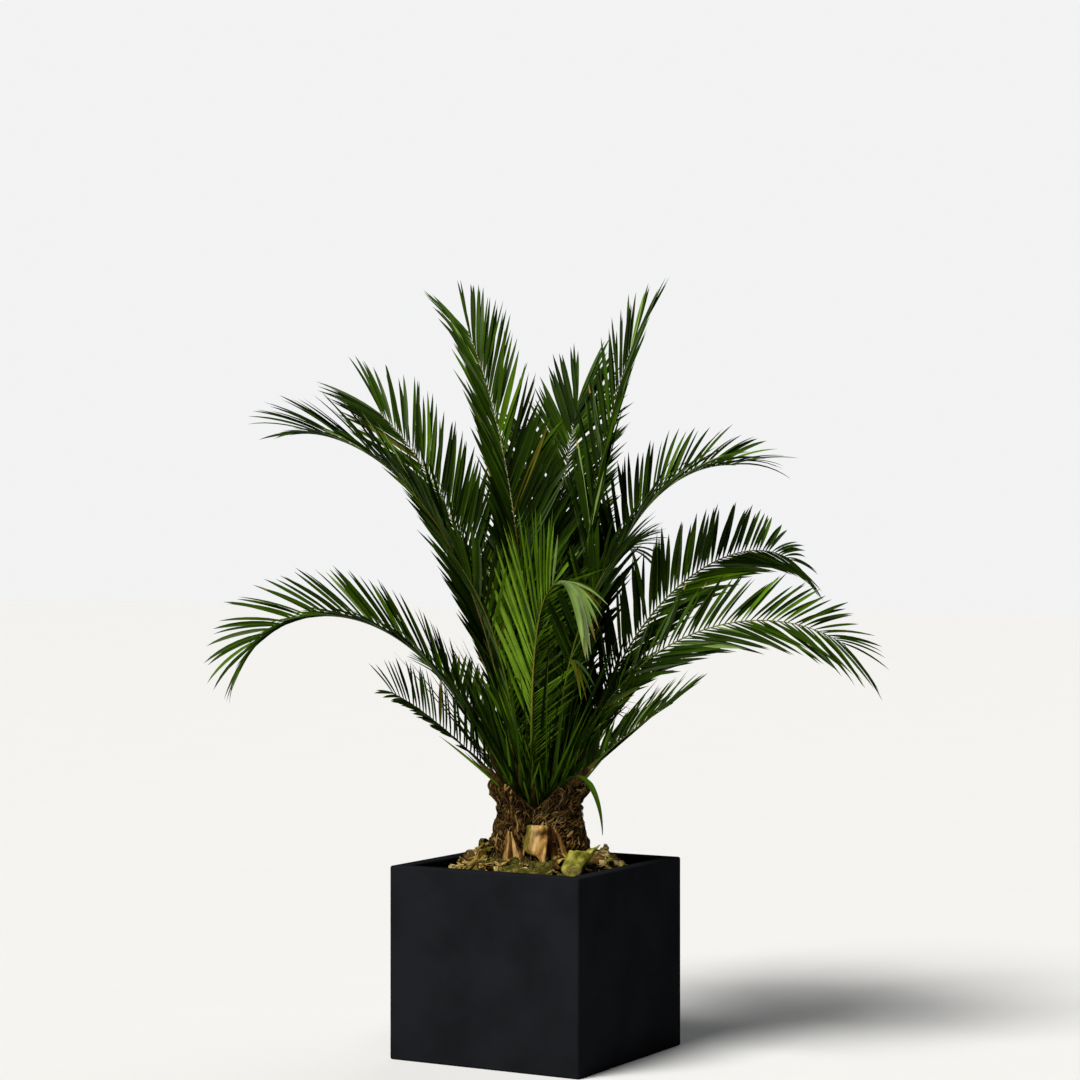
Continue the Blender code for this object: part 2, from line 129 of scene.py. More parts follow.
# %% Making a piece and handing it over
def settle(obj, slot, *nodes):
    """Applies modifiers and place, then hands the piece over to the frame."""
    activate(obj)
    for modifier in list(obj.modifiers):
        bpy.ops.object.modifier_apply(modifier=modifier.name)
    bpy.ops.object.transform_apply(location=True, rotation=True, scale=True)
    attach(obj, "root")
    if nodes:
        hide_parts(*nodes)
    print(f"{obj.name}: {len(obj.data.polygons)} faces")


def points_of(obj):
    return np.array([vertex.co for vertex in obj.data.vertices])


def move_points(obj, points):
    obj.data.vertices.foreach_set("co", points.astype(np.float32).ravel())


def mesh_piece(name, points, triangles, finishes, finish_of_face, smooth=True):
    """A new object straight from arrays of points and triangles."""
    mesh = bpy.data.meshes.new(name)
    mesh.vertices.add(len(points))
    mesh.vertices.foreach_set("co", np.ascontiguousarray(points, np.float32).ravel())
    mesh.loops.add(triangles.size)
    mesh.loops.foreach_set("vertex_index", np.ascontiguousarray(triangles, np.int32).ravel())
    mesh.polygons.add(len(triangles))
    mesh.polygons.foreach_set("loop_start", np.arange(0, triangles.size, 3, dtype=np.int32))
    mesh.polygons.foreach_set("material_index", np.asarray(finish_of_face, np.int32))
    mesh.polygons.foreach_set("use_smooth", np.full(len(triangles), smooth))
    mesh.update(calc_edges=True)
    for finish in finishes:
        mesh.materials.append(finish)
    obj = bpy.data.objects.new(name, mesh)
    bpy.context.scene.collection.objects.link(obj)
    return obj


def rows_of(table):
    """The words of a table written as text, row by row."""
    return [row.split() for row in table.strip().splitlines()]


print("piece helpers are ready")

# %% [markdown]
# ## Finishes
# Nothing on a plant is one even colour. A mottled finish blends its tones by a noise pattern in the
# object's own coordinates, and a finer noise raises a little relief through a Bump node.


# %% A mottled finish
def feed(finish, target, inputs):
    """Gives each named input of a node a value, or a link from another node's output."""
    for place, value in inputs.items():
        if isinstance(value, bpy.types.NodeSocket):
            finish.node_tree.links.new(value, target.inputs[place])
        else:
            target.inputs[place].default_value = value
    return target


def node(finish, kind, inputs=(), **settings):
    made = finish.node_tree.nodes.new("ShaderNode" + kind)
    for name, value in settings.items():
        setattr(made, name, value)
    return feed(finish, made, dict(inputs))


def noise(finish, scale, detail=4.0, stretch=(1, 1, 1), rough=0.55):
    """Noise in object coordinates, stretched by a Mapping node."""
    place = node(finish, "TexCoord").outputs["Object"]
    mapped = node(finish, "Mapping", {"Vector": place, "Scale": stretch}).outputs["Vector"]
    inputs = {"Vector": mapped, "Scale": scale, "Detail": detail, "Roughness": rough}
    return node(finish, "TexNoise", inputs).outputs["Fac"]


def ramp(finish, source, stops):
    made = node(finish, "ValToRGB", {"Fac": source})
    elements = made.color_ramp.elements
    while len(elements) < len(stops):
        elements.new(0.5)
    for element, (position, colour) in zip(elements, stops):
        element.position = position
        element.color = (*colour, 1.0)
    return made.outputs["Color"]


def new_finish(name):
    finish = bpy.data.materials.new(name)
    finish.use_nodes = True
    return finish


def add_skin(finish, colour, roughness, gloss, relief_scale, stretch, distance, strength):
    """Colour and sheen for the shader, with fine noise as its relief."""
    fine = noise(finish, relief_scale, 6.0, stretch)
    bump = node(finish, "Bump", {"Height": fine, "Distance": distance, "Strength": strength})
    skin = {"Base Color": colour, "Roughness": roughness, "Specular IOR Level": gloss}
    skin["Normal"] = bump.outputs["Normal"]
    feed(finish, finish.node_tree.nodes["Principled BSDF"], skin)
    return finish


def mottled(
    name, stops, scale, roughness, relief_scale, relief, strength=0.6, stretch=(1, 1, 1), gloss=0.12
):
    finish = new_finish(name)
    colour = ramp(finish, noise(finish, scale, stretch=stretch), stops)
    return add_skin(finish, colour, roughness, gloss, relief_scale, stretch, relief, strength)


def two_toned(tones, *settings):
    """A mottled finish for each name, between its two tones."""
    return [mottled(name, ((0.3, low), (0.7, high)), *settings) for name, (low, high) in tones.items()]


print("finish helpers are ready")

# %% [markdown]
# ## Camera, floor and light
# The plant is seen level, from a little above the height of its heart, through a long lens. A pale floor
# and a pale surround stand in for a studio, and broad lamps keep the shadows soft.

# %% Camera
VIEW_TURN = math.radians(29.9)
VIEW_RIGHT = np.array([math.cos(VIEW_TURN), math.sin(VIEW_TURN), 0.0])
VIEW_BACK = np.array([math.sin(VIEW_TURN), -math.cos(VIEW_TURN), 0.0])
VIEW_UP = np.array([0.0, 0.0, 1.0])
EYE_HEIGHT = 0.960
EYE_DISTANCE = 5.253
EYE_SHIFT = 0.005
SENSOR, LENS = 36.0, 93.37

eye = VIEW_RIGHT * EYE_SHIFT + VIEW_BACK * EYE_DISTANCE + VIEW_UP * EYE_HEIGHT
level_turn = (math.radians(90), 0, VIEW_TURN)
camera = added("camera", bpy.ops.object.camera_add, location=tuple(eye), rotation=level_turn)
camera.data.sensor_width = SENSOR
camera.data.lens = LENS
camera.data.clip_end = 200.0
bpy.context.scene.camera = camera
print("camera stands at", np.round(eye, 3))

# %% Floor and surround
LIT_SIDE, DARK_SIDE = 0.28, 0.02
BACKDROP = 0.90
FLOOR_TONE = 0.675

floor = added("studio_floor", bpy.ops.mesh.primitive_plane_add, size=60, location=(0, 0, 0))
floor_stops = ((0.3, (FLOOR_TONE * 0.995,) * 3), (0.7, (FLOOR_TONE * 1.005,) * 3))
floor.data.materials.append(mottled("studio_floor", floor_stops, 3.0, 0.9, 60.0, 0.0001))

world = bpy.data.worlds.new("studio")
bpy.context.scene.world = world
world.use_nodes = True
lit_from = tuple(-0.8 * VIEW_RIGHT + 0.3 * VIEW_BACK + 0.5 * VIEW_UP)
place = node(world, "TexCoord").outputs["Generated"]
facing = node(world, "VectorMath", operation="DOT_PRODUCT")
feed(world, facing, {0: place, 1: lit_from})
limits = {"Value": facing.outputs["Value"], "From Min": -1.0, "To Min": DARK_SIDE, "To Max": LIT_SIDE}
level = node(world, "MapRange", limits).outputs["Result"]
surround = feed(world, world.node_tree.nodes["Background"], {"Strength": level})
backdrop = node(world, "Background", {"Color": (0.99, 0.99, 1.0, 1), "Strength": BACKDROP})
seen = node(world, "LightPath").outputs["Is Camera Ray"]
choice = node(world, "MixShader", {"Fac": seen, 1: surround.outputs[0], 2: backdrop.outputs[0]})
feed(world, world.node_tree.nodes["World Output"], {"Surface": choice.outputs[0]})
bpy.context.scene.view_settings.view_transform = "Standard"
bpy.context.scene.view_settings.look = "None"
print("floor and surround are set")


# %% Lamps
def add_lamp(name, right, toward, up, softness, power, tint):
    """A broad distant lamp that shines from a direction given as seen from the camera."""
    away = VIEW_RIGHT * right + VIEW_BACK * toward + VIEW_UP * up
    lamp = added(name, bpy.ops.object.light_add, type="SUN", location=tuple(away * 3))
    lamp.data.angle = math.radians(softness)
    lamp.data.energy = power
    lamp.data.color = tint
    tilt = math.atan2(math.hypot(away[0], away[1]), away[2])
    lamp.rotation_euler = (tilt, 0, math.atan2(away[1], away[0]) + math.pi / 2)


add_lamp("key_lamp", -0.50, 0.42, 0.88, 27, 4.8, (1.0, 0.985, 0.95))
add_lamp("back_lamp", 0.40, -0.60, 0.90, 40, 0.6, (0.97, 0.99, 1.0))

# %% [markdown]
# ## Planter
# The planter is a moulded square box with a thick wall, softly rounded edges and a fine matt skin. A cube
# is added at its size, the top is inset by the wall and pushed down to the inner floor, and a Bevel
# modifier rounds every edge.

# %% Planter
PLANTER_WALL = 0.027
PLANTER_EDGE = 0.004
CHARCOAL = ((0.35, (0.0086, 0.0092, 0.0108)), (0.65, (0.0118, 0.0126, 0.0148)))

planter_low, planter_high = (np.array(corner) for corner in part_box("planter"))
planter_size = planter_high - planter_low
middle = tuple((planter_low + planter_high) / 2)
planter = added("planter_box", bpy.ops.mesh.primitive_cube_add, size=1, location=middle)
planter.scale = tuple(planter_size)
bpy.ops.object.transform_apply(location=True, rotation=True, scale=True)
select_faces(planter, lambda centre, normal: normal.z > 0.5)
bpy.ops.mesh.inset(thickness=PLANTER_WALL)
sink = {"value": (0, 0, -(planter_size[2] - PLANTER_WALL))}
bpy.ops.mesh.extrude_region_move(TRANSFORM_OT_translate=sink)
bpy.ops.object.mode_set(mode="OBJECT")
edges = planter.modifiers.new("rounded edges", "BEVEL")
edges.width = PLANTER_EDGE
edges.segments = 5
edges.harden_normals = False
skin = mottled("planter_charcoal", CHARCOAL, 9.0, 0.60, 420.0, 0.0004, 0.45, gloss=0.0)
planter.data.materials.append(skin)
settle(planter, "planter", "planter")
activate(planter)
bpy.ops.object.shade_smooth_by_angle(angle=math.radians(40))

# %% [markdown]
# ## Noise on a grid
# The soil, the trunk and the moss all need uneven surfaces. Smooth value noise does that: random heights
# on a coarse grid, blended between its points. It repeats in its first direction, so that it closes round
# a trunk.


# %% Value noise
SEED = 11
rng = np.random.default_rng(SEED)


def value_noise(u, v, across, up, seed):
    """Smooth noise from -1 to 1 at points (u, v) in 0..1, with that many cells. It repeats in u."""
    table = np.random.default_rng(seed).uniform(-1, 1, (across, up + 2))
    x = np.asarray(u) * across
    y = np.clip(np.asarray(v), 0, 1) * up
    column, row = np.floor(x).astype(int), np.minimum(np.floor(y).astype(int), up)
    ease_x = (x - column) ** 2 * (3 - 2 * (x - column))
    ease_y = (y - row) ** 2 * (3 - 2 * (y - row))
    near, far = column % across, (column + 1) % across
    low = table[near, row] * (1 - ease_x) + table[far, row] * ease_x
    high = table[near, row + 1] * (1 - ease_x) + table[far, row + 1] * ease_x
    return low * (1 - ease_y) + high * ease_y


print("noise test:", np.round(value_noise(np.array([0.1, 0.6]), np.array([0.2, 0.9]), 4, 4, rng), 2))

# %% [markdown]
# ## Soil
# The potting soil lies 45 mm below the rim and shows between the moss and the wall. A fine grid is given
# depth by an extrusion, so that it is a closed slab, and its top is pushed up and down by noise.

# %% Soil slab
SOIL_CELLS = 110
SOIL_SINK, SOIL_DEPTH = 0.004, 0.03
SOIL_WAVES = ((9, 0.0018), (34, 0.0016), (80, 0.0012))
SOIL_STOPS = ((0.30, (0.012, 0.008, 0.005)), (0.55, (0.035, 0.022, 0.013)), (0.78, (0.085, 0.058, 0.036)))

soil_low, soil_high = (np.array(corner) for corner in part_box("soil"))
soil_side = soil_high[0] - soil_low[0]
soil = added(
    "soil_surface",
    bpy.ops.mesh.primitive_grid_add,
    x_subdivisions=SOIL_CELLS,
    y_subdivisions=SOIL_CELLS,
    size=soil_side,
    location=(0, 0, soil_high[2] - SOIL_SINK),
)
start_edit(soil)
bpy.ops.mesh.extrude_region_move(TRANSFORM_OT_translate={"value": (0, 0, -SOIL_DEPTH)})
end_edit()
top = points_of(soil)
share = np.clip(top[:, :2] / soil_side + 0.5, 0, 1)
lift = sum(
    size * value_noise(share[:, 0] * 0.999, share[:, 1], cells, cells, rng)
    for cells, size in SOIL_WAVES
)
top[:, 2] += np.where(top[:, 2] > -SOIL_DEPTH / 3, lift, 0.0)
move_points(soil, top)
soil.data.materials.append(mottled("soil_dark", SOIL_STOPS, 90.0, 0.95, 380.0, 0.002, 0.9))
settle(soil, "soil", "soil")

# %% [markdown]
# ## Trunk
# The trunk is a squat stump. Old leaf bases wrap it in oblique, overlapping scales with ragged upper
# ledges, and a mat of brown fibre fills the gaps. A grid is rolled into a tube by its own rows and
# columns. Its radius is the trunk's profile plus lumps, scales and fibres. How far each point stands out
# is kept as an attribute, so that the finish can paint shade into the cracks and paint highlights on the
# ledges.

# %% Sizes that the trunk shares with its solid
SOIL_TOP = 0.313
TRUNK_SPAN = 0.21
TRUNK_OFFSET = (0.0035, 0.002)
# Heights above the soil, and the radius at each.
TRUNK_HEIGHTS = (0.0, 0.030, 0.060, 0.095, 0.118, 0.137, 0.162, 0.184, 0.195, 0.204)
TRUNK_RADII = (0.112, 0.102, 0.092, 0.085, 0.080, 0.0735, 0.079, 0.092, 0.087, 0.072)
WAIST = SOIL_TOP + 0.137
LOBE_TOP = SOIL_TOP + 0.204
BOWL_FLOOR = SOIL_TOP + 0.150
# Heading, depth and half width of each notch in the head.
NOTCHES = (
    (293, 0.058, 40),
    (117, 0.024, 34),
    (243, 0.016, 17),
    (352, 0.016, 17),
    (161, 0.010, 14),
    (72, 0.010, 14),
)


def trunk_radius(heading, height):
    """The smooth radius at headings in degrees and heights in metres."""
    radius = np.interp(height - SOIL_TOP, TRUNK_HEIGHTS, TRUNK_RADII)
    return radius * (1.0 - 0.03 * np.cos(2 * np.radians(heading - 120)))


def rim_height(heading):
    height = np.full(np.shape(heading), LOBE_TOP)
    for middle, depth, half_width in NOTCHES:
        away = np.abs((heading - middle + 180) % 360 - 180)
        height = height - depth * np.clip(1.0 - away / half_width, 0.0, 1.0)
    return height


def compass(heading):
    """Unit vectors outwards from the trunk at headings in degrees, and level along it."""
    turn = np.radians(heading)
    outward = np.stack([np.cos(turn), np.sin(turn), 0 * turn], axis=-1)
    return outward, np.stack([-np.sin(turn), np.cos(turn), 0 * turn], axis=-1)


def around(heading, reach, height):
    turn = np.radians(heading)
    x, y = TRUNK_OFFSET
    return np.stack([x + reach * np.cos(turn), y + reach * np.sin(turn), height + 0 * turn], axis=-1)


print("trunk from", SOIL_TOP, "to", round(LOBE_TOP, 3))

# %% Relief of the old leaf bases
SCALE_COLUMNS = 8
SCALE_PITCH = 0.030
LEDGE = 0.0065


def skin_noise(heading, height, across, up, seed, slant=0.0):
    """Noise over the trunk's skin, whose cells lean by a slant."""
    v = (height - SOIL_TOP) / TRUNK_SPAN
    return value_noise(heading / 360 + slant * v, v, across, up, seed)


def scale_relief(heading, height):
    """Leaf-base scales from 0 to 1: each row is shifted by half a scale and ends in a raised ledge."""
    wander = 0.35 * skin_noise(heading, height, 7, 5, 3)
    rows = (height - SOIL_TOP) / SCALE_PITCH + wander + 0.10 * np.sin(np.radians(heading * 2))
    row = np.floor(rows)
    climb = rows - row
    column = SCALE_COLUMNS * heading / 360 + 0.5 * row + 0.18 * np.sin(3 * climb + row)
    side = 2 * (column - np.floor(column)) - 1
    crown = np.sqrt(np.clip(1 - side**2, 0, 1))
    ledge = climb**1.5 * np.clip((1 - climb) / 0.10, 0, 1)
    return crown * (0.25 + 0.75 * ledge)


def broad_relief(heading, height):
    """Lumps, knobs and scales in metres, without the fine fibre."""
    lumps = skin_noise(heading, height, 6, 4, 5)
    knobs = skin_noise(heading, height, 22, 11, 6)
    return 0.0032 * lumps + 0.0026 * knobs + LEDGE * scale_relief(heading, height) - 0.0025


def trunk_relief(heading, height):
    """The whole relief in metres, and how far each point stands out, from 0 to 1, which the bark finish
    paints as shade in the cracks and highlights on the ledges.
    """
    fibre = np.abs(skin_noise(heading, height, 110, 22, 7, 0.10))
    cross = np.abs(skin_noise(heading, height, 80, 30, 8, -0.22))
    relief = broad_relief(heading, height) - 0.0022 * fibre - 0.0016 * cross
    return relief, np.clip(0.30 + 60 * relief, 0, 1)


print("ledges stand out by", LEDGE * 1000, "mm")

# %% Trunk mesh
TRUNK_COLUMNS = 300
WALL_ROWS = 150
HEAD_ROWS = 62
BOWL_ROWS = 34
# Down into the bowl: shares of the radius, and of the drop to its floor.
BOWL_STEPS = np.linspace(0, 1, 5)
BOWL_SHARES = (1.0, 0.84, 0.55, 0.22, 0.0)
BOWL_SINKS = (0.0, 0.40, 0.90, 1.0, 1.0)


def trunk_point(u, row):
    """Place and painted shade of the trunk's skin at a heading share u and a row from the soil into the
    bowl.
    """
    heading = (u * 360) % 360
    rim = rim_height(heading) + 0.005 * value_noise(u, 0 * u, 38, 1, 10)
    wall = row / WALL_ROWS
    head = (row - WALL_ROWS) / HEAD_ROWS
    bowl = np.clip((row - WALL_ROWS - HEAD_ROWS) / BOWL_ROWS, 0, 1)
    on_wall = SOIL_TOP + wall * (WAIST - SOIL_TOP)
    height = np.where(row <= WALL_ROWS, on_wall, WAIST + head * (rim - WAIST))
    height = np.where(bowl > 0, rim, height)
    relief, shade = trunk_relief(heading, height)
    radius = trunk_radius(heading, height) + relief * np.clip(1 - 1.5 * bowl, 0.25, 1)
    radius = radius * np.interp(bowl, BOWL_STEPS, BOWL_SHARES)
    dip = np.interp(bowl, BOWL_STEPS, BOWL_SINKS)
    roughness = 0.003 * value_noise(u, bowl, 60, 18, 9) * (bowl > 0)
    height = height + dip * (BOWL_FLOOR - rim) + roughness * (radius > 0.01)
    # The painted shade grows darker down into the bowl.
    return around(heading, radius, height), shade * (1 - 0.6 * bowl)


def rolled_grid(name, columns, rows, point, close):
    """A grid rolled into a tube by point(share of a turn, row). An operator closes its open ends."""
    grid = bpy.ops.mesh.primitive_grid_add
    obj = added(name, grid, x_subdivisions=columns, y_subdivisions=rows, size=1)
    flat = points_of(obj)[:, :2] + 0.5
    points, shade = point(flat[:, 0] % 1.0, np.round(flat[:, 1] * rows))
    move_points(obj, points)
    # The painted shade, where there is one, is kept as a point attribute for the finish.
    if shade is not None:
        layer = obj.data.attributes.new("relief_shade", "FLOAT", "POINT")
        layer.data.foreach_set("value", shade.astype(np.float32))
    start_edit(obj)
    bpy.ops.mesh.remove_doubles(threshold=0.00002)
    bpy.ops.mesh.select_mode(type="EDGE")
    bpy.ops.mesh.select_all(action="DESELECT")
    bpy.ops.mesh.select_non_manifold()
    close()
    end_edit()
    bpy.ops.object.shade_smooth()
    return obj


rows_in_all = WALL_ROWS + HEAD_ROWS + BOWL_ROWS
fill = bpy.ops.mesh.edge_face_add
trunk = rolled_grid("trunk_bark", TRUNK_COLUMNS, rows_in_all, trunk_point, fill)
print("trunk grid:", len(trunk.data.polygons), "faces")

# %% Bark finish
MOSS_LOW, MOSS_TOP = SOIL_TOP + 0.03, 0.405
MOSS_COLOUR = (0.055, 0.058, 0.012, 1)
# Painted shade in the cracks at the dark end and painted highlights on the ledges at the pale end, with the
# bark's browns between.
BARK_AND_SHADE_STOPS = (
    (0.1, (0.006, 0.003, 0.0006)),
    (0.35, (0.036, 0.018, 0.003)),
    (0.58, (0.11, 0.057, 0.011)),
    (0.8, (0.23, 0.13, 0.03)),
    (1.00, (0.36, 0.235, 0.08)),
)


def bark_finish(name):
    """Painted shade in the cracks and painted highlights on the ledges, by the attribute of how far each
    point stands out, broken up by noise, with moss at the foot.
    """
    finish = new_finish(name)
    painted_shade = node(finish, "Attribute", attribute_name="relief_shade").outputs["Fac"]
    shifted = node(finish, "Math", {0: painted_shade, 1: 0.95, 2: -0.38}, operation="MULTIPLY_ADD")
    speck = noise(finish, 95.0, 6.0, (1, 1, 0.35), 0.7)
    blend = {0: speck, 1: 0.75, 2: shifted.outputs[0]}
    mixed = node(finish, "Math", blend, operation="MULTIPLY_ADD").outputs[0]
    place = node(finish, "TexCoord").outputs["Object"]
    height = node(finish, "SeparateXYZ", {"Vector": place}).outputs["Z"]
    low = node(finish, "MapRange", {"Value": height, "From Min": MOSS_TOP, "From Max": MOSS_LOW})
    patch = noise(finish, 38.0, 5.0)
    patchy = node(finish, "MapRange", {"Value": patch, "From Min": 0.42, "From Max": 0.60})
    both = {0: low.outputs["Result"], 1: patchy.outputs["Result"]}
    amount = node(finish, "Math", both, operation="MULTIPLY").outputs[0]
    mossy = node(finish, "Mix", data_type="RGBA")
    feed(finish, mossy, {0: amount, 6: ramp(finish, mixed, BARK_AND_SHADE_STOPS), 7: MOSS_COLOUR})
    return add_skin(finish, mossy.outputs[2], 0.9, 0.08, 300.0, (1, 1, 0.3), 0.0015, 0.8)


trunk.data.materials.append(bark_finish("bark_fibre"))
settle(trunk, "trunk", "trunk")

# %% [markdown]
# ## Copies of a small shape
# Hundreds of strands, flakes and leaflets differ only in place, size and bend. Each kind is modelled once
# as a straight template whose own axes are across, up and along. A copy is the template's points carried
# onto a curved centre line, and all copies of a kind are joined into one mesh from arrays.


# %% Templates
def template_of(obj):
    """Points and triangles of a modelled template, which is then removed."""
    start_edit(obj)
    bpy.ops.mesh.normals_make_consistent(inside=False)
    bpy.ops.mesh.quads_convert_to_tris()
    bpy.ops.object.mode_set(mode="OBJECT")
    points = points_of(obj)
    triangles = np.array([face.vertices for face in obj.data.polygons])
    bpy.data.objects.remove(obj)
    return points, triangles


def rod_template(name, sides, cuts):
    """A straight rod of radius 1 along +Z from 0 to 1, cut across at given shares, with a pointed tip."""
    cylinder = bpy.ops.mesh.primitive_cylinder_add
    rod = added(name, cylinder, vertices=sides, radius=1, depth=1, location=(0, 0, 0.5))
    bpy.ops.object.transform_apply(location=True)
    bpy.ops.object.mode_set(mode="EDIT")
    for cut in cuts:
        bpy.ops.mesh.select_all(action="SELECT")
        bpy.ops.mesh.bisect(plane_co=(0, 0, cut), plane_no=(0, 0, 1))
    select_faces(rod, lambda centre, normal: centre.z > 0.999)
    bpy.ops.mesh.merge(type="CENTER")
    return template_of(rod)


strand_points, strand_faces = rod_template("strand_template", 3, (0.25, 0.5, 0.75))
print("strand template:", len(strand_faces), "faces")


# %% Tubes through rings
def unit(vectors):
    return vectors / np.maximum(np.linalg.norm(vectors, axis=-1, keepdims=True), 1e-12)


def tube_piece(name, rings, finishes, tint_of_ring):
    """A closed tube lofted through rings of points, with a finish for the faces that follow each ring."""
    count, sides = rings.shape[:2]
    ends = [rings[:1].mean(axis=1), rings[-1:].mean(axis=1)]
    points = np.concatenate([rings.reshape(-1, 3), *ends])
    ring, side = np.divmod(np.arange((count - 1) * sides), sides)
    near, beside = ring * sides + side, ring * sides + (side + 1) % sides
    edge, after, top = np.arange(sides), (np.arange(sides) + 1) % sides, (count - 1) * sides
    first, last = np.full(sides, len(points) - 2), np.full(sides, len(points) - 1)
    corners = (
        (near, beside, beside + sides),
        (near, beside + sides, near + sides),
        (after, edge, first),
        (top + edge, top + after, last),
    )
    faces = np.concatenate([np.stack(corner, axis=-1) for corner in corners])
    tint = np.asarray(tint_of_ring)
    tints = [tint[ring], tint[ring], np.full(sides, tint[0]), np.full(sides, tint[-1])]
    tube = mesh_piece(name, points, faces, finishes, np.concatenate(tints))
    start_edit(tube)
    end_edit()
    return tube


def joined(name, pieces):
    """Several pieces made one object."""
    activate(pieces[0])
    for piece in pieces[1:]:
        piece.select_set(True)
    bpy.ops.object.join()
    pieces[0].name = name
    return pieces[0]


print("helpers for tubes are ready")


# %% Copies on curved lines
def curved_copies(template, start, along, up, length, bend, half_width, half_depth):
    """Points of every copy of a template. start, along, up and bend are one row a copy; bend is how far
    the tip leaves the straight line. half_width and half_depth hold one value for each copy and point."""
    share = template[:, 2][None, :, None]
    run = along[:, None, :] * length[:, None, None]
    centre = start[:, None, :] + run * share + bend[:, None, :] * share**2
    tangent = unit(run + 2 * bend[:, None, :] * share)
    across = unit(np.cross(up[:, None, :], tangent))
    upward = np.cross(tangent, across)
    side = across * (template[:, 0] * half_width)[..., None]
    return centre + side + upward * half_depth[..., None]


def copied_faces(points, triangles):
    copies, size = points.shape[:2]
    return (triangles[None] + size * np.arange(copies)[:, None, None]).reshape(-1, 3)


def strew(name, slot, points, triangles, finishes, finish, smooth=True):
    """One settled piece from copies x points, each copy with its own finish or one for each face."""
    finish = np.asarray(finish)
    if finish.ndim == 1:
        finish = np.repeat(finish, len(triangles))
    faces = copied_faces(points, triangles)
    settle(mesh_piece(name, points.reshape(-1, 3), faces, finishes, finish.ravel(), smooth), slot)


print("helpers for copies are ready")

# %% [markdown]
# ## Strips and fibre on the trunk
# What is left of the old leaf bases is a dense coat of curled strips, like short lengths of cord. Each is
# a four-sided rod laid along an arc over the trunk's skin. Neighbours lean alike, because their lean comes
# from slow noise. Near the notch of the head, thin pale fibres are tangled over them.


# %% Strips that follow the trunk
strip_points, strip_faces = rod_template("strip_template", 4, (0.15, 0.38, 0.62, 0.85))
STRIP_SHAPE = np.interp(strip_points[:, 2], (0, 0.15, 0.62, 1), (0.55, 1.0, 0.9, 0.0))
STRIP_REACH = 0.085


def strips_on_trunk(heading, height, lean, curl, length, width, thick, stand):
    """Points of strips that start at headings and heights, lean and curl in radians, and hug the trunk."""
    share = strip_points[:, 2]
    lean, length = lean[:, None], length[:, None]
    curl = np.where(np.abs(curl) < 0.05, 0.05, curl)[:, None]
    turn = lean + curl * share
    offset = width[:, None] / 2 * STRIP_SHAPE * strip_points[:, 0]
    run = length * (np.sin(turn) - np.sin(lean)) / curl - np.sin(turn) * offset
    climb = length * (np.cos(lean) - np.cos(turn)) / curl + np.cos(turn) * offset
    level = np.maximum(height[:, None] + climb, SOIL_TOP + 0.004)
    turned = (heading[:, None] + np.degrees(run / STRIP_REACH)) % 360
    level = np.minimum(level, rim_height(turned) - 0.001)
    arch = np.sin(np.pi * share) ** 0.6 * stand[:, None]
    skin = trunk_radius(turned, level) + broad_relief(turned, level)
    return around(turned, skin + arch + strip_points[:, 1] * thick, level)


def strewn_strips(count, headings, heights, lengths, widths, stand, curliness):
    heading = strip_rng.uniform(*headings, count)
    height = strip_rng.uniform(*heights, count)
    flow = skin_noise(heading, height, 8, 5, 12)
    lean = np.radians(60 + 85 * flow + strip_rng.normal(0, 13, count))
    curl = strip_rng.normal(0, curliness, count)
    length, width = strip_rng.uniform(*lengths, count), strip_rng.uniform(*widths, count)
    stand = strip_rng.uniform(0, stand, count)
    return strips_on_trunk(heading, height, lean, curl, length, width, 0.4 * width.mean(), stand)


STRIP_TONES = {
    "strip_black": ((0.006, 0.003, 0.0007), (0.02, 0.0095, 0.0022)),
    "strip_umber": ((0.035, 0.016, 0.0035), (0.08, 0.04, 0.009)),
    "strip_brown": ((0.095, 0.05, 0.009), (0.19, 0.105, 0.023)),
    "strip_tan": ((0.19, 0.115, 0.028), (0.35, 0.225, 0.07)),
    "fibre_pale": ((0.2, 0.135, 0.055), (0.38, 0.28, 0.14)),
}
# Count, lengths, widths, how far a strip stands off, and how much it curls.
STRIP_KINDS = (
    (1500, (0.010, 0.024), (0.0020, 0.0042), 0.0016, 1.1),
    (500, (0.014, 0.034), (0.0010, 0.0018), 0.0034, 1.5),
    (210, (0.014, 0.030), (0.0040, 0.0070), 0.0030, 0.9),
)
STRIP_HEIGHTS = (SOIL_TOP + 0.035, LOBE_TOP - 0.008)
strip_finishes = two_toned(STRIP_TONES, 130.0, 0.9, 420.0, 0.0006, 0.8)
strip_rng = np.random.default_rng(21)
strips = np.concatenate(
    [strewn_strips(count, (0, 360), STRIP_HEIGHTS, *kind) for count, *kind in STRIP_KINDS]
)
strip_tint = strip_rng.choice(4, len(strips), p=(0.24, 0.36, 0.28, 0.12))
strew("trunk_strips", "trunk", strips, strip_faces, strip_finishes, strip_tint)

# %% Pale fibres at the notch
NOTCH_HEIGHTS = (WAIST - 0.024, WAIST + 0.030)
fibres = strewn_strips(80, (290, 338), NOTCH_HEIGHTS, (0.016, 0.046), (0.0006, 0.0014), 0.0060, 1.9)
fibre_tint = strip_rng.choice((2, 3, 4), len(fibres), p=(0.35, 0.30, 0.35))
strew("notch_fibres", "trunk", fibres, strip_faces, strip_finishes, fibre_tint)

# %% [markdown]
# ## Bed of moss and bark
# Moss and bark are heaped round the foot of the trunk and slope down to the soil. The bed is a grid again,
# wrapped round the trunk and closed underneath, with its height from a profile and noise.

# %% Moss bed
BED_RADIUS = 0.162
BED_HEIGHT = 0.056
BED_WAVE = 0.04
BED_FLOOR = SOIL_TOP + 0.0003
# Shares of the way out, and of the bed's height at each.
BED_SHARES = (0.0, 0.35, 0.72, 0.93, 1.0)
BED_RISES = (1.0, 0.82, 0.40, 0.13, 0.02)
BED_WAVES = ((12, 0.0070), (34, 0.0048), (90, 0.0030))
BED_COLUMNS = 260
BED_ROWS = 46
BED_STOPS = (
    (0.28, (0.01, 0.008, 0.001)),
    (0.45, (0.05, 0.046, 0.005)),
    (0.58, (0.12, 0.1, 0.014)),
    (0.75, (0.23, 0.17, 0.04)),
)


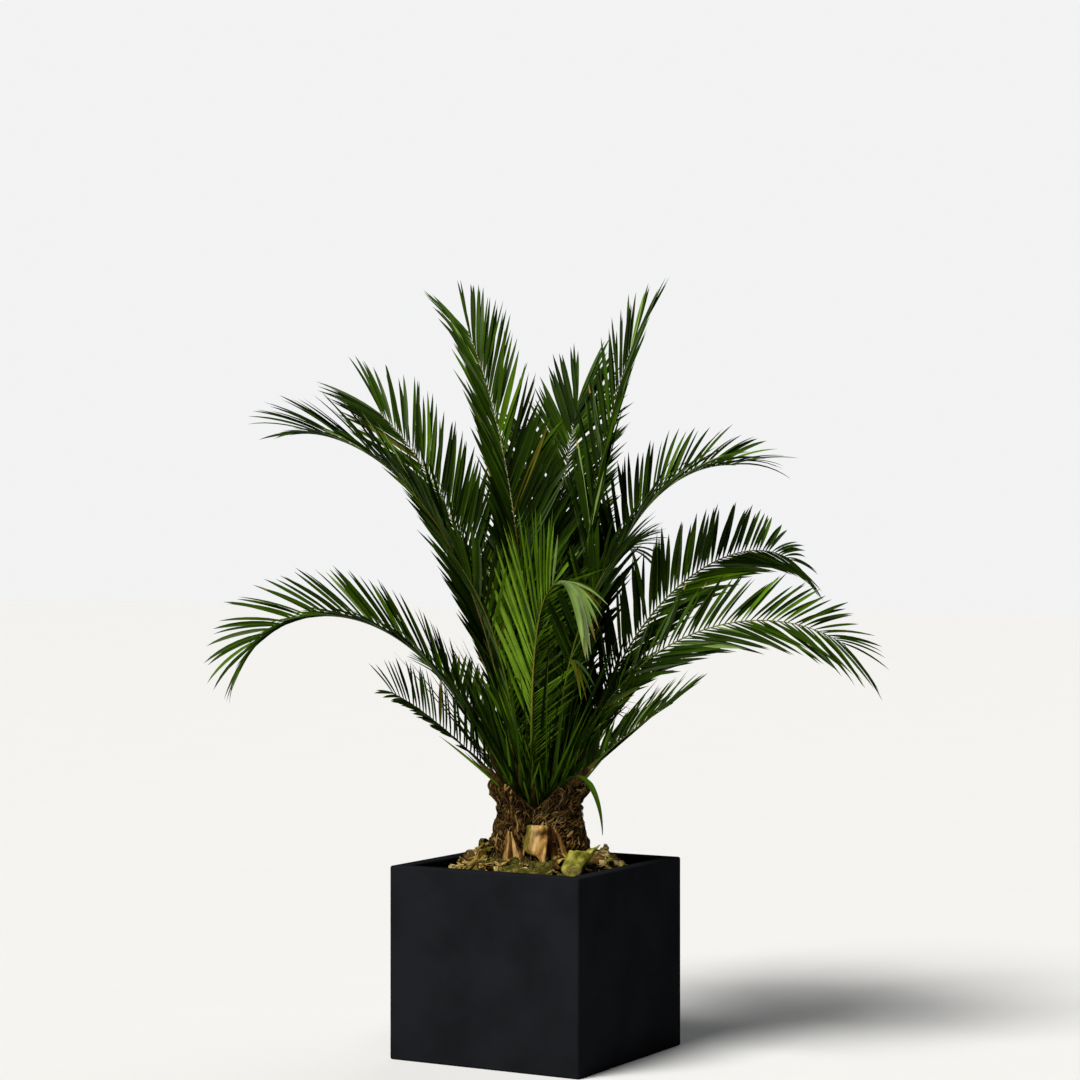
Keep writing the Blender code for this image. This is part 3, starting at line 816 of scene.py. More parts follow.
def bed_reach(heading, share):
    inner = trunk_radius(heading, SOIL_TOP + 0.03) - 0.006
    outer = BED_RADIUS * (1.0 + BED_WAVE * np.sin(np.radians(3 * heading)))
    return inner + share * (outer - inner)


def bed_height(heading, share):
    u = (heading / 360) % 1.0
    rough = sum(
        size * value_noise(u, share, cells, max(2, cells // 5), 40 + cells) for cells, size in BED_WAVES
    )
    fade = np.clip((1 - share) / 0.25, 0.15, 1)
    return SOIL_TOP + BED_HEIGHT * np.interp(share, BED_SHARES, BED_RISES) + rough * fade + 0.002


def on_bed(heading, share, sunk=0.0):
    return around(heading, bed_reach(heading, share), bed_height(heading, share) - sunk)


def bed_point(u, row):
    """Rows run from the outer edge over the top to the trunk, and the last row lies under the bed."""
    heading = (u * 360) % 360
    share = np.clip(1 - row / (BED_ROWS - 2), 0, 1)
    height = np.maximum(bed_height(heading, share), BED_FLOOR + 0.001)
    height = np.where(row > BED_ROWS - 2, BED_FLOOR, height)
    return around(heading, bed_reach(heading, share), height), None


bridge = bpy.ops.mesh.bridge_edge_loops
bed = rolled_grid("moss_and_bark", BED_COLUMNS, BED_ROWS, bed_point, bridge)
bed.data.materials.append(mottled("moss_and_earth", BED_STOPS, 70.0, 0.95, 330.0, 0.003, 1.0))
settle(bed, "moss_bed", "moss_bed")

# %% [markdown]
# ## Flakes of bark and moss
# Curled flakes of bark and matted fibre lie on the bed, thickest on its left and right. One flake is
# modelled from a flattened, subdivided cube. Each copy gets its own ragged outline, curl and tilt.

# %% Flakes
flake = added("flake_template", bpy.ops.mesh.primitive_cube_add, size=1, location=(0, 0, 0))
start_edit(flake)
bpy.ops.mesh.subdivide(number_cuts=3, smoothness=0.0)
bpy.ops.mesh.vertices_smooth(factor=0.5, repeat=1)
bpy.ops.object.mode_set(mode="OBJECT")
flake_points, flake_faces = template_of(flake)
# Middle heading and spread, count, and size against the usual for each group of flakes.
FLAKE_GROUPS = (
    (214, 22, 30, 1.4),
    (215, 36, 30, 0.9),
    (16, 20, 24, 1.3),
    (8, 28, 24, 0.9),
    (110, 80, 60, 1.1),
    (300, 30, 16, 0.55),
)
FLAKE_SIZES = ((0.018, 0.040), (0.011, 0.022), (0.0018, 0.0040))
FLAKE_TONES = {
    "flake_ochre": ((0.26, 0.17, 0.03), (0.56, 0.4, 0.105)),
    "flake_tan": ((0.4, 0.28, 0.085), (0.72, 0.56, 0.23)),
    "flake_brown": ((0.045, 0.024, 0.005), (0.15, 0.082, 0.02)),
    "flake_moss": ((0.06, 0.055, 0.006), (0.17, 0.15, 0.02)),
}
STEEP = 0.45
flake_rng = np.random.default_rng(51)


def turned(a, b, angle):
    cosine, sine = np.cos(angle)[:, None], np.sin(angle)[:, None]
    return a * cosine - b * sine, a * sine + b * cosine


def flake_copies(heading, share, sizes):
    """Flakes laid on the bed at headings and shares of the way out, some tilted up steeply."""
    count = len(heading)
    jitter = flake_rng.normal(0, 1, (count, len(flake_points), 3)) * (0.09, 0.09, 0.20)
    shape = (flake_points[None] + jitter) * sizes[:, None, :]
    curl = flake_rng.normal(0, 1.0, (count, 2))
    for axis, strength in ((0, 0.9), (1, 0.7)):
        arch = sizes[:, None, axis] * strength * curl[:, None, axis]
        shape[..., 2] += arch * flake_points[None, :, axis] ** 2
    yaw = flake_rng.uniform(0, 2 * np.pi, count)
    tilt = flake_rng.normal(0, 1, count) * STEEP
    spin = flake_rng.normal(0, 0.45, count)
    x, y, z = np.moveaxis(shape, 2, 0)
    x, z = turned(x, z, tilt)
    y, z = turned(y, z, spin)
    x, y = turned(x, y, yaw)
    return np.stack([x, y, z], axis=-1) + on_bed(heading, share)[:, None]


groups = []
for middle, spread, count, scale in FLAKE_GROUPS:
    heading = flake_rng.normal(middle, spread, count) % 360
    share = flake_rng.uniform(0.12, 0.90, count)
    share = np.where((heading > 314) & (heading < 346), 0.15, share)
    sizes = np.stack([flake_rng.uniform(*limits, count) for limits in FLAKE_SIZES], axis=-1)
    groups.append(flake_copies(heading, share, sizes * (scale, scale, 1.0)))
flakes = np.concatenate(groups)
flake_finishes = two_toned(FLAKE_TONES, 85.0, 0.9, 380.0, 0.0015, 0.8)
flake_tint = flake_rng.choice(4, len(flakes), p=(0.42, 0.34, 0.14, 0.10))
strew("bark_flakes", "moss_bed", flakes, flake_faces, flake_finishes, flake_tint)

# %% Moss strands
MOSS_STRANDS = 2600
MOSS_TONES = {
    "moss_olive": ((0.050, 0.055, 0.010), (0.110, 0.115, 0.022)),
    "moss_green": ((0.020, 0.045, 0.007), (0.050, 0.090, 0.014)),
    "moss_straw": ((0.150, 0.105, 0.040), (0.290, 0.210, 0.095)),
}
moss_rng = np.random.default_rng(61)
heading = moss_rng.uniform(0, 360, MOSS_STRANDS)
share = moss_rng.beta(1.1, 2.2, MOSS_STRANDS)
start = on_bed(heading, share, 0.001)
outward, level = compass(heading)
along = unit(moss_rng.normal(0, 0.75, (MOSS_STRANDS, 3)) + outward * 0.35 + VIEW_UP * 0.8)
length = moss_rng.uniform(0.005, 0.015, MOSS_STRANDS)
bend = moss_rng.normal(0, 0.35, (MOSS_STRANDS, 3)) * length[:, None] - VIEW_UP * (0.3 * length)[:, None]
width = moss_rng.uniform(0.0003, 0.0007, MOSS_STRANDS)[:, None] * (1 - 0.5 * strand_points[:, 2])[None]
depth = strand_points[:, 1] * width
moss = curved_copies(strand_points, start, along, outward, length, bend, width, depth)
moss_tint = moss_rng.choice(3, MOSS_STRANDS, p=(0.45, 0.20, 0.35))
moss_finishes = two_toned(MOSS_TONES, 60, 0.9, 400, 0.0004)
strew("moss_strands", "moss_bed", moss, strand_faces, moss_finishes, moss_tint)

# %% [markdown]
# ## Husks
# Dry leaf bases still cling to the lower trunk: tan and papery, with a ledge where the leaf broke off, a
# pale plate below it, sharp folds and torn points. Such a folded sheet is easiest to shape as a net of a
# few points. Each point is three numbers in millimetres, as seen from straight in front of the
# husk: how far to the right, how far above the soil, and how far it stands off the trunk. Subdivision
# rounds the net, noise wrinkles it, and a Solidify modifier gives it thickness.

# %% Nets of the husks
BROAD_NET = """
    -24 120 3  -15 121 8  -4 120 10  6 120 10  14 121 9  20 119 6  25 117 5  29 115 6
    -23 114 6  -15 114 14  -4 114 17  7 113 17  15 113 18  21 112 9  28 110 6  34 108 9
    -25 104 5  -16 105 9  -4 104 7  5 103 4  13 102 5  20 103 6  33 100 3  40 98 11
    -27 96 4  -19 97 9  -7 98 4  6 98 9  16 97 27  21 94 1  38 86 1  46 84 12
    -30 82 5  -22 80 13  -10 80 6  3 79 14  13 79 31  18 76 -2  42 74 0  50 72 12
    -26 74 9  -19 71 17  -8 69 9  3 63 18  11 60 30  17 56 -2  46 58 -1  55 56 11
    -21 70 12  -14 68 18  -5 66 12  3 55 18  9 42 24  18 40 0  49 44 -1  58 42 8
"""
NARROW_NET = """
    -61 106 1  -59 107 3  -56 108 9  -53 107 4  -51 106 5  -49 105 1
    -70 92 3  -64 93 0  -55 94 17  -51 93 4  -47 92 9  -43 90 1
    -78 80 6  -69 79 -1  -56 80 21  -50 79 2  -42 78 13  -36 76 1
    -79 66 9  -69 64 -1  -58 64 21  -49 64 0  -37 64 15  -28 62 1
    -71 50 10  -65 50 4  -60 46 16  -48 50 1  -33 49 13  -21 46 2
"""
FRONT = math.degrees(VIEW_TURN) + 270
# The finish of each column of a net: 0 tan, 1 a darker brown painted as the shade of hollows and folds, 2
# mossy.
BROAD_TINTS = (2, 0, 0, 0, 1, 1, 0)
NARROW_TINTS = (1, 0, 1, 0, 1)
Husk = namedtuple("Husk", "net tints faces size drop")
HUSKS = (
    Husk(BROAD_NET, BROAD_TINTS, FRONT, 1.0, 0),
    Husk(NARROW_NET, NARROW_TINTS, FRONT, 1.0, 0),
    Husk(BROAD_NET, BROAD_TINTS, 80, 0.95, -6),
    Husk(BROAD_NET, BROAD_TINTS, 172, 0.72, 18),
)
HUSK_SHEET = 0.0012
HUSK_TONES = {
    "husk_tan": (
        (0.36, (0.095, 0.042, 0.008)),
        (0.46, (0.24, 0.125, 0.028)),
        (0.56, (0.42, 0.25, 0.075)),
        (0.68, (0.6, 0.42, 0.175)),
    ),
    # Painted shade: a darker brown on the faces of the hollows and folds that lie in shadow.
    "husk_hollow_shade": (
        (0.36, (0.01, 0.004, 0.0006)),
        (0.48, (0.042, 0.017, 0.0032)),
        (0.57, (0.115, 0.05, 0.0105)),
        (0.7, (0.24, 0.12, 0.03)),
    ),
    "husk_mossy": (
        (0.36, (0.04, 0.034, 0.003)),
        (0.48, (0.11, 0.092, 0.009)),
        (0.58, (0.22, 0.165, 0.026)),
        (0.7, (0.4, 0.25, 0.08)),
    ),
}
husk_finishes = [
    mottled(name, stops, 60.0, 0.80, 260.0, 0.0016, 1.0, stretch=(1, 1, 0.30))
    for name, stops in HUSK_TONES.items()
]
print("husks to shape:", len(HUSKS))


# %% Husks from their nets
def husk_place(husk, right, height, stand):
    """A point of a net on the trunk, from its distances as seen in front of the husk."""
    turn = math.radians(husk.faces)
    level = SOIL_TOP + (height * husk.size + husk.drop) / 1000
    reach = float(trunk_radius(husk.faces, level)) + stand * husk.size / 1000
    across = right * husk.size / 1000
    toward = math.sqrt(max(reach**2 - across**2, 0.0))
    x = TRUNK_OFFSET[0] + toward * math.cos(turn) - across * math.sin(turn)
    y = TRUNK_OFFSET[1] + toward * math.sin(turn) + across * math.cos(turn)
    return x, y, level


for number, husk in enumerate(HUSKS):
    words = np.array(rows_of(husk.net), float)
    net = words.reshape(len(words), -1, 3)
    rows, columns = net.shape[0] - 1, net.shape[1] - 1
    grid = bpy.ops.mesh.primitive_grid_add
    name = f"dry_husk_{number + 1}"
    sheet = added(name, grid, x_subdivisions=columns, y_subdivisions=rows, size=2)
    for vertex in sheet.data.vertices:
        column = round((vertex.co.x + 1) / 2 * columns)
        row = round((1 - vertex.co.y) / 2 * rows)
        vertex.co = husk_place(husk, *net[row, column])
    for finish in husk_finishes:
        sheet.data.materials.append(finish)
    for place, face in enumerate(sheet.data.polygons):
        face.material_index = husk.tints[place % columns]
    rounded = sheet.modifiers.new("rounded", "SUBSURF")
    rounded.levels = rounded.render_levels = 4
    bpy.ops.object.modifier_apply(modifier=rounded.name)
    fold_rng = np.random.default_rng(70 + number)
    points = points_of(sheet)
    outward = unit((points - (*TRUNK_OFFSET, 0)) * (1, 1, 0))
    spin = (np.arctan2(outward[:, 1], outward[:, 0]) / (2 * np.pi)) % 1.0
    rise = (points[:, 2] - SOIL_TOP) / 0.15
    wrinkle = value_noise(spin, rise, 60, 9, fold_rng) + 0.6 * value_noise(spin, rise, 150, 14, fold_rng)
    move_points(sheet, points + outward * (0.0016 * wrinkle)[:, None])
    bpy.ops.object.shade_smooth()
    wall = sheet.modifiers.new("sheet", "SOLIDIFY")
    wall.thickness = HUSK_SHEET
    wall.offset = 0.0
    settle(sheet, "husks", f"husk_{number + 1}")

# %% Shreds beside the husks
# Heading, height above the soil, lean in degrees and length.
SHREDS = (
    (296, 0.106, -62, 0.020),
    (288, 0.100, -75, 0.030),
    (283, 0.088, -105, 0.034),
    (303, 0.062, -84, 0.026),
)
SHRED_CURL, SHRED_WIDTH, SHRED_THICK = 0.3, 0.004, 0.0007
heading, height, lean, length = np.array(SHREDS).T
even = np.ones(len(SHREDS))
shreds = strips_on_trunk(
    heading,
    SOIL_TOP + height,
    np.radians(lean),
    SHRED_CURL * even,
    length,
    SHRED_WIDTH * even,
    SHRED_THICK,
    SHRED_WIDTH * even,
)
strew("husk_shreds", "husks", shreds, strip_faces, husk_finishes, np.zeros(len(shreds), int))

# %% [markdown]
# ## Cut stalk
# A broad old leaf base leans in the bed in front of the trunk, yellow-green and mossy, torn at its upper
# end and drawn out to one spike. Low on its front is the pale scar where the stalk was sawn off. The body
# is lofted through flattened rings, and the scar is a short tube set into it.

# %% Body of the cut stalk
STALK_RINGS = 26
STALK_SIDES = 48
# Places are given by their distances to the right, towards the eye and above the soil.
STALK_FOOT = np.array((0.0525, 0.112, 0.022))
STALK_HEAD = np.array((0.0835, 0.101, 0.0776))
STALK_HALF_WIDTH = 0.0240
STALK_HALF_DEPTH = 0.0135
# Share of the rings at which the torn end turns inwards.
STALK_LIP = 0.86
# Middle heading and width in degrees of the groove down the body, and of the spike.
GROOVE_TURN, GROOVE_SPREAD = 262, 16
SPIKE_TURN, SPIKE_SPREAD = 15, 13
STALK_STOPS = (
    (0.32, (0.06, 0.058, 0.004)),
    (0.45, (0.155, 0.15, 0.012)),
    (0.56, (0.27, 0.25, 0.034)),
    (0.7, (0.4, 0.35, 0.095)),
)
SCAR_STOPS = ((0.3, (0.260, 0.220, 0.040)), (0.7, (0.500, 0.430, 0.130)))


def seen_place(right, toward, height):
    right, toward, height = (np.asarray(value, float)[..., None] for value in (right, toward, height))
    return VIEW_RIGHT * right + VIEW_BACK * toward + VIEW_UP * (SOIL_TOP + height)


stalk_rng = np.random.default_rng(81)
turn_shares = np.linspace(0, 2 * np.pi, STALK_SIDES, endpoint=False)
share, spin = np.meshgrid(np.linspace(0, 1, STALK_RINGS), turn_shares, indexing="ij")
turn_share, spin_degrees = spin / (2 * np.pi), np.degrees(spin)
lumps = value_noise(turn_share, share, 7, 3, stalk_rng)
grain = value_noise(turn_share, share, 30, 9, stalk_rng)
tear = value_noise(turn_share, 0 * share, 13, 1, stalk_rng)
rise = np.minimum(share / STALK_LIP, 1.0)
inner = np.clip((share - STALK_LIP) / (1 - STALK_LIP), 0, 1)
groove = 0.16 * np.exp(-(((spin_degrees - GROOVE_TURN - 10 * share) / GROOVE_SPREAD) ** 2))
swell = (1 + 0.07 * lumps + 0.03 * grain - groove) * (1 - 0.85 * inner)
from_spike = ((spin_degrees - SPIKE_TURN + 180) % 360 - 180) / SPIKE_SPREAD
spike = np.exp(-(from_spike**2)) * rise**8 * (1 - inner)
across = np.sign(np.cos(spin)) * np.abs(np.cos(spin)) ** 0.8 * STALK_HALF_WIDTH * swell + 0.012 * spike
depth = -np.sin(spin) * STALK_HALF_DEPTH * swell
middle = STALK_FOOT + (STALK_HEAD - STALK_FOOT) * rise[..., None]
height = middle[..., 2] + 0.0050 * tear * rise**4 + 0.009 * spike - 0.010 * inner
stalk_rings = seen_place(middle[..., 0] + across, middle[..., 1] + depth, height)
stalk_finishes = [
    mottled("stalk_yellow_green", STALK_STOPS, 60.0, 0.75, 280.0, 0.0015, 0.8),
    mottled("stalk_scar", SCAR_STOPS, 140.0, 0.85, 380.0, 0.001, 0.7),
]
body = tube_piece("cut_leaf_stalk", stalk_rings, stalk_finishes, np.zeros(STALK_RINGS, int))
print("body of the cut stalk:", len(body.data.polygons), "faces")

# %% Scar of the cut stalk
SCAR_CENTRE = (0.0690, 0.120, 0.042)
SCAR_HALF_WIDTH, SCAR_HALF_HEIGHT = 0.0145, 0.0115
# How far each ring stands out, and its size.
SCAR_RINGS = ((-0.012, 1.0), (0.001, 1.0), (0.0030, 0.96), (0.0040, 0.84), (0.0036, 0.55), (0.0042, 0.25))
facing = unit(VIEW_BACK * 0.92 - VIEW_UP * 0.25 - VIEW_RIGHT * 0.15)
scar_side = unit(np.cross(VIEW_UP, facing))
scar_up = np.cross(facing, scar_side)
spin = np.linspace(0, 2 * np.pi, 32, endpoint=False)[:, None]
oval = scar_side * np.cos(spin) * SCAR_HALF_WIDTH + scar_up * np.sin(spin) * SCAR_HALF_HEIGHT
rings = np.array([seen_place(*SCAR_CENTRE) + facing * out + oval * size for out, size in SCAR_RINGS])
scar = tube_piece("scar", rings, stalk_finishes, (0, 0, 0, 1, 1, 1))
settle(joined("cut_leaf_stalk", [body, scar]), "cut_stalk", "cut_stalk")

# %% [markdown]
# ## Fronds
# A feather frond has a stiff rib that rises from the head of the trunk, turns over and thins to its tip.
# Two rows of narrow leaflets leave it at an angle that closes towards the tip. The solids grow by the same
# rule, with few broad leaflets; here it is carried on to 60 to 90 true leaflets a side on a full frond.

# %% The rule for a rib
# A frond's foot is at a heading, a radius and a height. Its rib rises by degrees, droops by others with a
# power (bend), sweeps sideways and has a length. leaf is the longest leaflet, lift and roll turn the
# blade, and end is the share of the length at which the last leaflets stand. tone is the middle of its
# tints, in steps from the darkest; base is the size of its foot, and rib names its colours.
# A frond's tone is partly painted light: it was set by how bright the frond looks, so fronds in the light
# get brighter tints and fronds in the shade of the crown darker ones, besides their own green.
Frond = namedtuple(
    "Frond", "name heading radius height rise droop bend sweep length leaf lift roll end tone base rib"
)
FRONDS = tuple(
    Frond(name, *map(float, sizes), rib)
    for name, *sizes, rib in rows_of("""
    left_arch      226 0.072  0.52 61 132 2.1    4  0.69 0.162 42   5 0.905 2.8    1 green
    left_high      233 0.045 0.512 79  83 2.1   18  0.88 0.178 25  30 0.935 2.3    1   tan
    left_rear      178 0.052 0.512 79  50   2    0  0.87 0.178 15  45 0.895 2.5    1 cream
    top_left       170  0.03   0.5 90  58   2  -32  1.03 0.178 32  30   0.9 2.6    1 cream
    centre         115 0.022   0.5 67  17 1.9  -14  0.96 0.188 15   0  0.87 2.5  0.7 cream
    top_right       55  0.03 0.502 81  38 3.4   37  0.97 0.162 30   0  0.92   2    1   tan
    right_high      50 0.053 0.512 80  93 3.2  -13  0.76 0.162 42   0 0.965 2.3    1   tan
    right_mid       32 0.075  0.52 75 102 1.6   50  0.76 0.167 20 -35  0.97 2.7    1 green
    right_arch      12 0.064 0.516 73 113 1.2   37  0.71 0.162  8 -36  0.94 2.6    1 green
    left_low       243 0.086 0.509 41  28 1.8   26  0.37 0.118 35  25  0.89 2.3    1 green
    right_low      352 0.084 0.513 41  12   1   10  0.29 0.118 35 -20  0.89 2.8    1 green
    front          286 0.045 0.474 76 119 6.8 51.5 0.498   0.2 35 -20  0.89 5.6 0.55 fresh
    rear_high      140 0.046   0.5 92  80 2.6  -20   0.8 0.167 20   0  0.89 2.2    1 cream
    rear           118  0.07 0.515 62 112 1.9  -10   0.7 0.162 30   0  0.89 2.2    1 green
    rear_left      143  0.07  0.52 70 100 2.2  -12   0.7 0.162 30   0  0.89 2.2    1 green
    rear_right      92 0.066 0.518 70 104 2.1   12  0.74 0.162 30   0  0.89 2.2    1 green
    rear_low_left  161  0.08 0.515 48  40 1.4  -16  0.38 0.118 35   0  0.89 2.2    1 green
    rear_low_right  72  0.08 0.515 50  44 1.4   14  0.37 0.118 35   0  0.89 2.2    1 green
    front_left     263 0.052 0.492 80  36 1.8  -14   0.5 0.162 30   0  0.89 3.1  0.6 green
    front_right    328  0.05 0.494 80  42 1.8   16  0.52 0.162 30   0  0.89 2.5  0.6 green
    heart_left     270 0.012 0.495 87  16   2    0  0.46 0.118 30   0  0.89 3.3 0.35 fresh
    heart_right      5 0.033 0.497 83  24   2    0  0.44 0.118 30   0  0.89   3 0.35 fresh
""")
)
PETIOLE_SHARE = 0.09
RIB_STEPS = 96


def rib_directions(frond, t):
    """Rows of unit vectors at shares t of the rib: along it, across the blade, out of its upper side."""
    t = np.asarray(t, float)
    rise = np.radians(frond.rise - frond.droop * np.clip(t, 0, None) ** frond.bend)
    turn = np.radians(frond.heading + frond.sweep * t)
    flat = np.cos(rise)
    forward = np.stack([flat * np.cos(turn), flat * np.sin(turn), np.sin(rise)], axis=-1)
    level = np.stack([np.sin(turn), -np.cos(turn), 0 * turn], axis=-1)
    upper = np.cross(level, forward)
    roll = (np.radians(frond.roll) * np.clip(2 * t, 0, 1))[..., None]
    side = level * np.cos(roll) + upper * np.sin(roll)
    return forward, side, np.cross(side, forward)


def rib_points(frond, t):
    """Points of the rib at shares t of its length, by walking along it in short steps."""
    middle = (np.arange(RIB_STEPS) + 0.5) / RIB_STEPS
    steps = rib_directions(frond, middle)[0] * (frond.length / RIB_STEPS)
    foot = around(np.float64(frond.heading), frond.radius, frond.height)
    path = np.concatenate([[foot], foot + np.cumsum(steps, axis=0)])
    shares = np.linspace(0, 1, RIB_STEPS + 1)
    return np.stack([np.interp(t, shares, path[:, axis]) for axis in range(3)], axis=-1)


TALLEST = max(FRONDS, key=lambda frond: frond.length)
print("tip of the tallest frond:", np.round(rib_points(TALLEST, np.array([1.0])), 3))

# %% [markdown]
# ## Ribs
# The foot of a rib is a broad sheath that clasps the head of the trunk. Above it the rib is a smooth stalk
# with a flat upper side, green near the foot, tan above and cream towards its tip. It is lofted from
# rounded sections, and its tone steps along its length by face.

# %% Rib tints
RIB_TINTS = {
    "sheath": ((0.035, 0.018, 0.004), (0.1, 0.055, 0.013)),
    "green": ((0.08, 0.12, 0.006), (0.17, 0.2, 0.014)),
    "olive": ((0.12, 0.095, 0.01), (0.2, 0.15, 0.022)),
    "tan": ((0.15, 0.08, 0.016), (0.27, 0.16, 0.045)),
    "cream": ((0.28, 0.24, 0.11), (0.46, 0.41, 0.23)),
    "leafy": ((0.045, 0.08, 0.006), (0.08, 0.13, 0.012)),
    "lime": ((0.17, 0.16, 0.012), (0.29, 0.25, 0.03)),
}
rib_tones = {f"rib_{name}": tones for name, tones in RIB_TINTS.items()}
rib_finishes = two_toned(rib_tones, 60.0, 0.55, 320.0, 0.0005, 0.5)
RIB_TINT_NAMES = list(RIB_TINTS)
# Where each tint starts along the rib, for four kinds of rib.
RIB_PATTERNS = {
    "cream": "-1 sheath 0.03 leafy 0.24 olive 0.36 tan 0.46 cream 0.90 leafy",
    "tan": "-1 sheath 0.03 leafy 0.22 olive 0.34 tan 0.60 olive 0.88 leafy",
    "green": "-1 sheath 0.03 leafy 0.35 green 0.60 olive 0.85 leafy",
    "fresh": "-1 leafy 0.10 green 0.34 lime 0.90 leafy",
}
print("rib tints:", ", ".join(RIB_TINTS))

# %% Ribs from sections
RIB_SECTIONS = 64
RIB_SIDES = 8
# How far the rib runs on below its foot, and past its last leaflets as a share of its length.
RIB_ROOT, RIB_OVERRUN = 0.03, 0.005
RIB_WIDTH = (0.0078, 0.0015)
RIB_DEPTH = (0.0060, 0.0013)
RIB_EASE = 0.55


def rib_half_sizes(t):
    """Half the rib's width and depth."""
    ease = np.clip(t, 0, 1) ** RIB_EASE
    return tuple((foot + (tip - foot) * ease) / 2 for foot, tip in (RIB_WIDTH, RIB_DEPTH))


def rib_rings(frond, t, half_width, half_depth, sides):
    """Rounded sections with a flatter top, across the rib at shares t, which may start below its foot."""
    forward, side, normal = rib_directions(frond, t)
    centre = rib_points(frond, t) + forward * (np.minimum(t, 0) * frond.length)[:, None]
    spin = 2 * np.pi * (np.arange(sides) + 0.5) / sides
    flat_top = np.where(np.sin(spin) > 0, 0.55, 1.0)
    across = side[:, None] * (half_width * np.cos(spin))[..., None]
    return centre[:, None] + across + normal[:, None] * (half_depth * np.sin(spin) * flat_top)[..., None]


def nodes_of(frond):
    """A frond is one solid, or two where it is split at its bend."""
    whole = f"frond_{frond.name}"
    return [name for name in frame["nodes"] if name in (whole, whole + "_rise", whole + "_fall")]


for frond in FRONDS:
    below = [-RIB_ROOT / frond.length]
    t = np.concatenate([below, np.linspace(0, frond.end + RIB_OVERRUN, RIB_SECTIONS)])
    half_width, half_depth = rib_half_sizes(t)
    rings = rib_rings(frond, t, half_width[:, None], half_depth[:, None], RIB_SIDES)
    tint_at = np.zeros(len(t), int)
    pattern = RIB_PATTERNS[frond.rib].split()
    for start, tint in zip(pattern[::2], pattern[1::2]):
        tint_at[t >= float(start)] = RIB_TINT_NAMES.index(tint)
    settle(tube_piece(f"rib_{frond.name}", rings, rib_finishes, tint_at), "fronds", *nodes_of(frond))

# %% [markdown]
# ## Leaf bases
# Where a leaf stalk meets the trunk it widens into a tough, fibrous base that clasps the head, and these
# bases carry the trunk's outline up into the crown. Each is lofted round the foot of its rib, broad below
# and tapering above, with ridges that run along it.

# %% Leaf bases
BASE_LOW, BASE_HIGH = -0.045, 0.070
BASE_RINGS = 26
BASE_SIDES = 30
BASE_SHARES = (0.0, 0.38, 0.60, 0.80, 1.0)
BASE_WIDTHS = (0.0150, 0.0150, 0.0120, 0.0072, 0.0038)
BASE_DEPTHS = (0.0095, 0.0090, 0.0070, 0.0048, 0.0028)
BASE_OVER_RIB = 1.02
BASE_END = 0.7
BASE_STOPS = (
    (0.30, (0.010, 0.005, 0.001)),
    (0.50, (0.055, 0.028, 0.006)),
    (0.66, (0.120, 0.068, 0.018)),
    (0.80, (0.220, 0.140, 0.045)),
)
BASE_GREEN = ((0.3, (0.060, 0.055, 0.006)), (0.7, (0.150, 0.130, 0.018)))
base_finishes = [
    mottled("base_fibre", BASE_STOPS, 110.0, 0.85, 300.0, 0.0015, 0.9, stretch=(1, 1, 0.30)),
    mottled("base_green", BASE_GREEN, 70.0, 0.7, 320.0, 0.0008, 0.6),
]
base_rng = np.random.default_rng(91)


def add_base(frond):
    share = np.linspace(0, 1, BASE_RINGS)
    reach = share * (BASE_HIGH - BASE_LOW) * (0.7 + 0.3 * frond.base)
    t = (BASE_LOW + reach) / frond.length
    u, v = np.meshgrid(np.arange(BASE_SIDES) / BASE_SIDES, share)
    ridges = 1 + 0.10 * value_noise(u, v, 15, 4, base_rng) + 0.14 * value_noise(u, v, 6, 3, base_rng)
    closing = np.where(share > 0.99, BASE_END, 1)
    halves = []
    for own, sizes in zip(rib_half_sizes(np.clip(t, 0, 1)), (BASE_WIDTHS, BASE_DEPTHS)):
        half = np.maximum(frond.base * np.interp(share, BASE_SHARES, sizes), own * BASE_OVER_RIB)
        halves.append(half[:, None] * ridges * closing[:, None])
    rings = rib_rings(frond, t, *halves, BASE_SIDES)
    green = share > base_rng.uniform(0.66, 0.80)
    return tube_piece("base", rings, base_finishes, green.astype(int))


settle(joined("leaf_bases", [add_base(frond) for frond in FRONDS]), "fronds")

# %% [markdown]
# ## Leaflets
# A leaflet is a narrow blade, folded along its middle, tight at its foot, widest before its middle and
# drawn out to a needle point. The template is a four-sided rod: its left and right corners are the
# margins and the other two are the fold, above and below. Every copy has its own length, width, twist
# and droop, and neighbours gather in small clumps, which is what opens the gaps between them. A leaflet
# has one plain tint with a faint drift of tone, and the tints are dealt out leaflet by leaflet. The tints
# are lit and shaded steps of one green, so they also paint shade deep in the crown and highlights and
# sheen on a few leaflets.

# %% Leaflet template and tints
PROFILE_SHARES = (0.0, 0.05, 0.14, 0.27, 0.42, 0.57, 0.72, 0.86, 1.0)
PROFILE_WIDTHS = (0.30, 0.42, 0.68, 0.92, 1.0, 0.96, 0.81, 0.50, 0.0)
leaflet_points, leaflet_faces = rod_template("leaflet_template", 4, PROFILE_SHARES[1:-1])
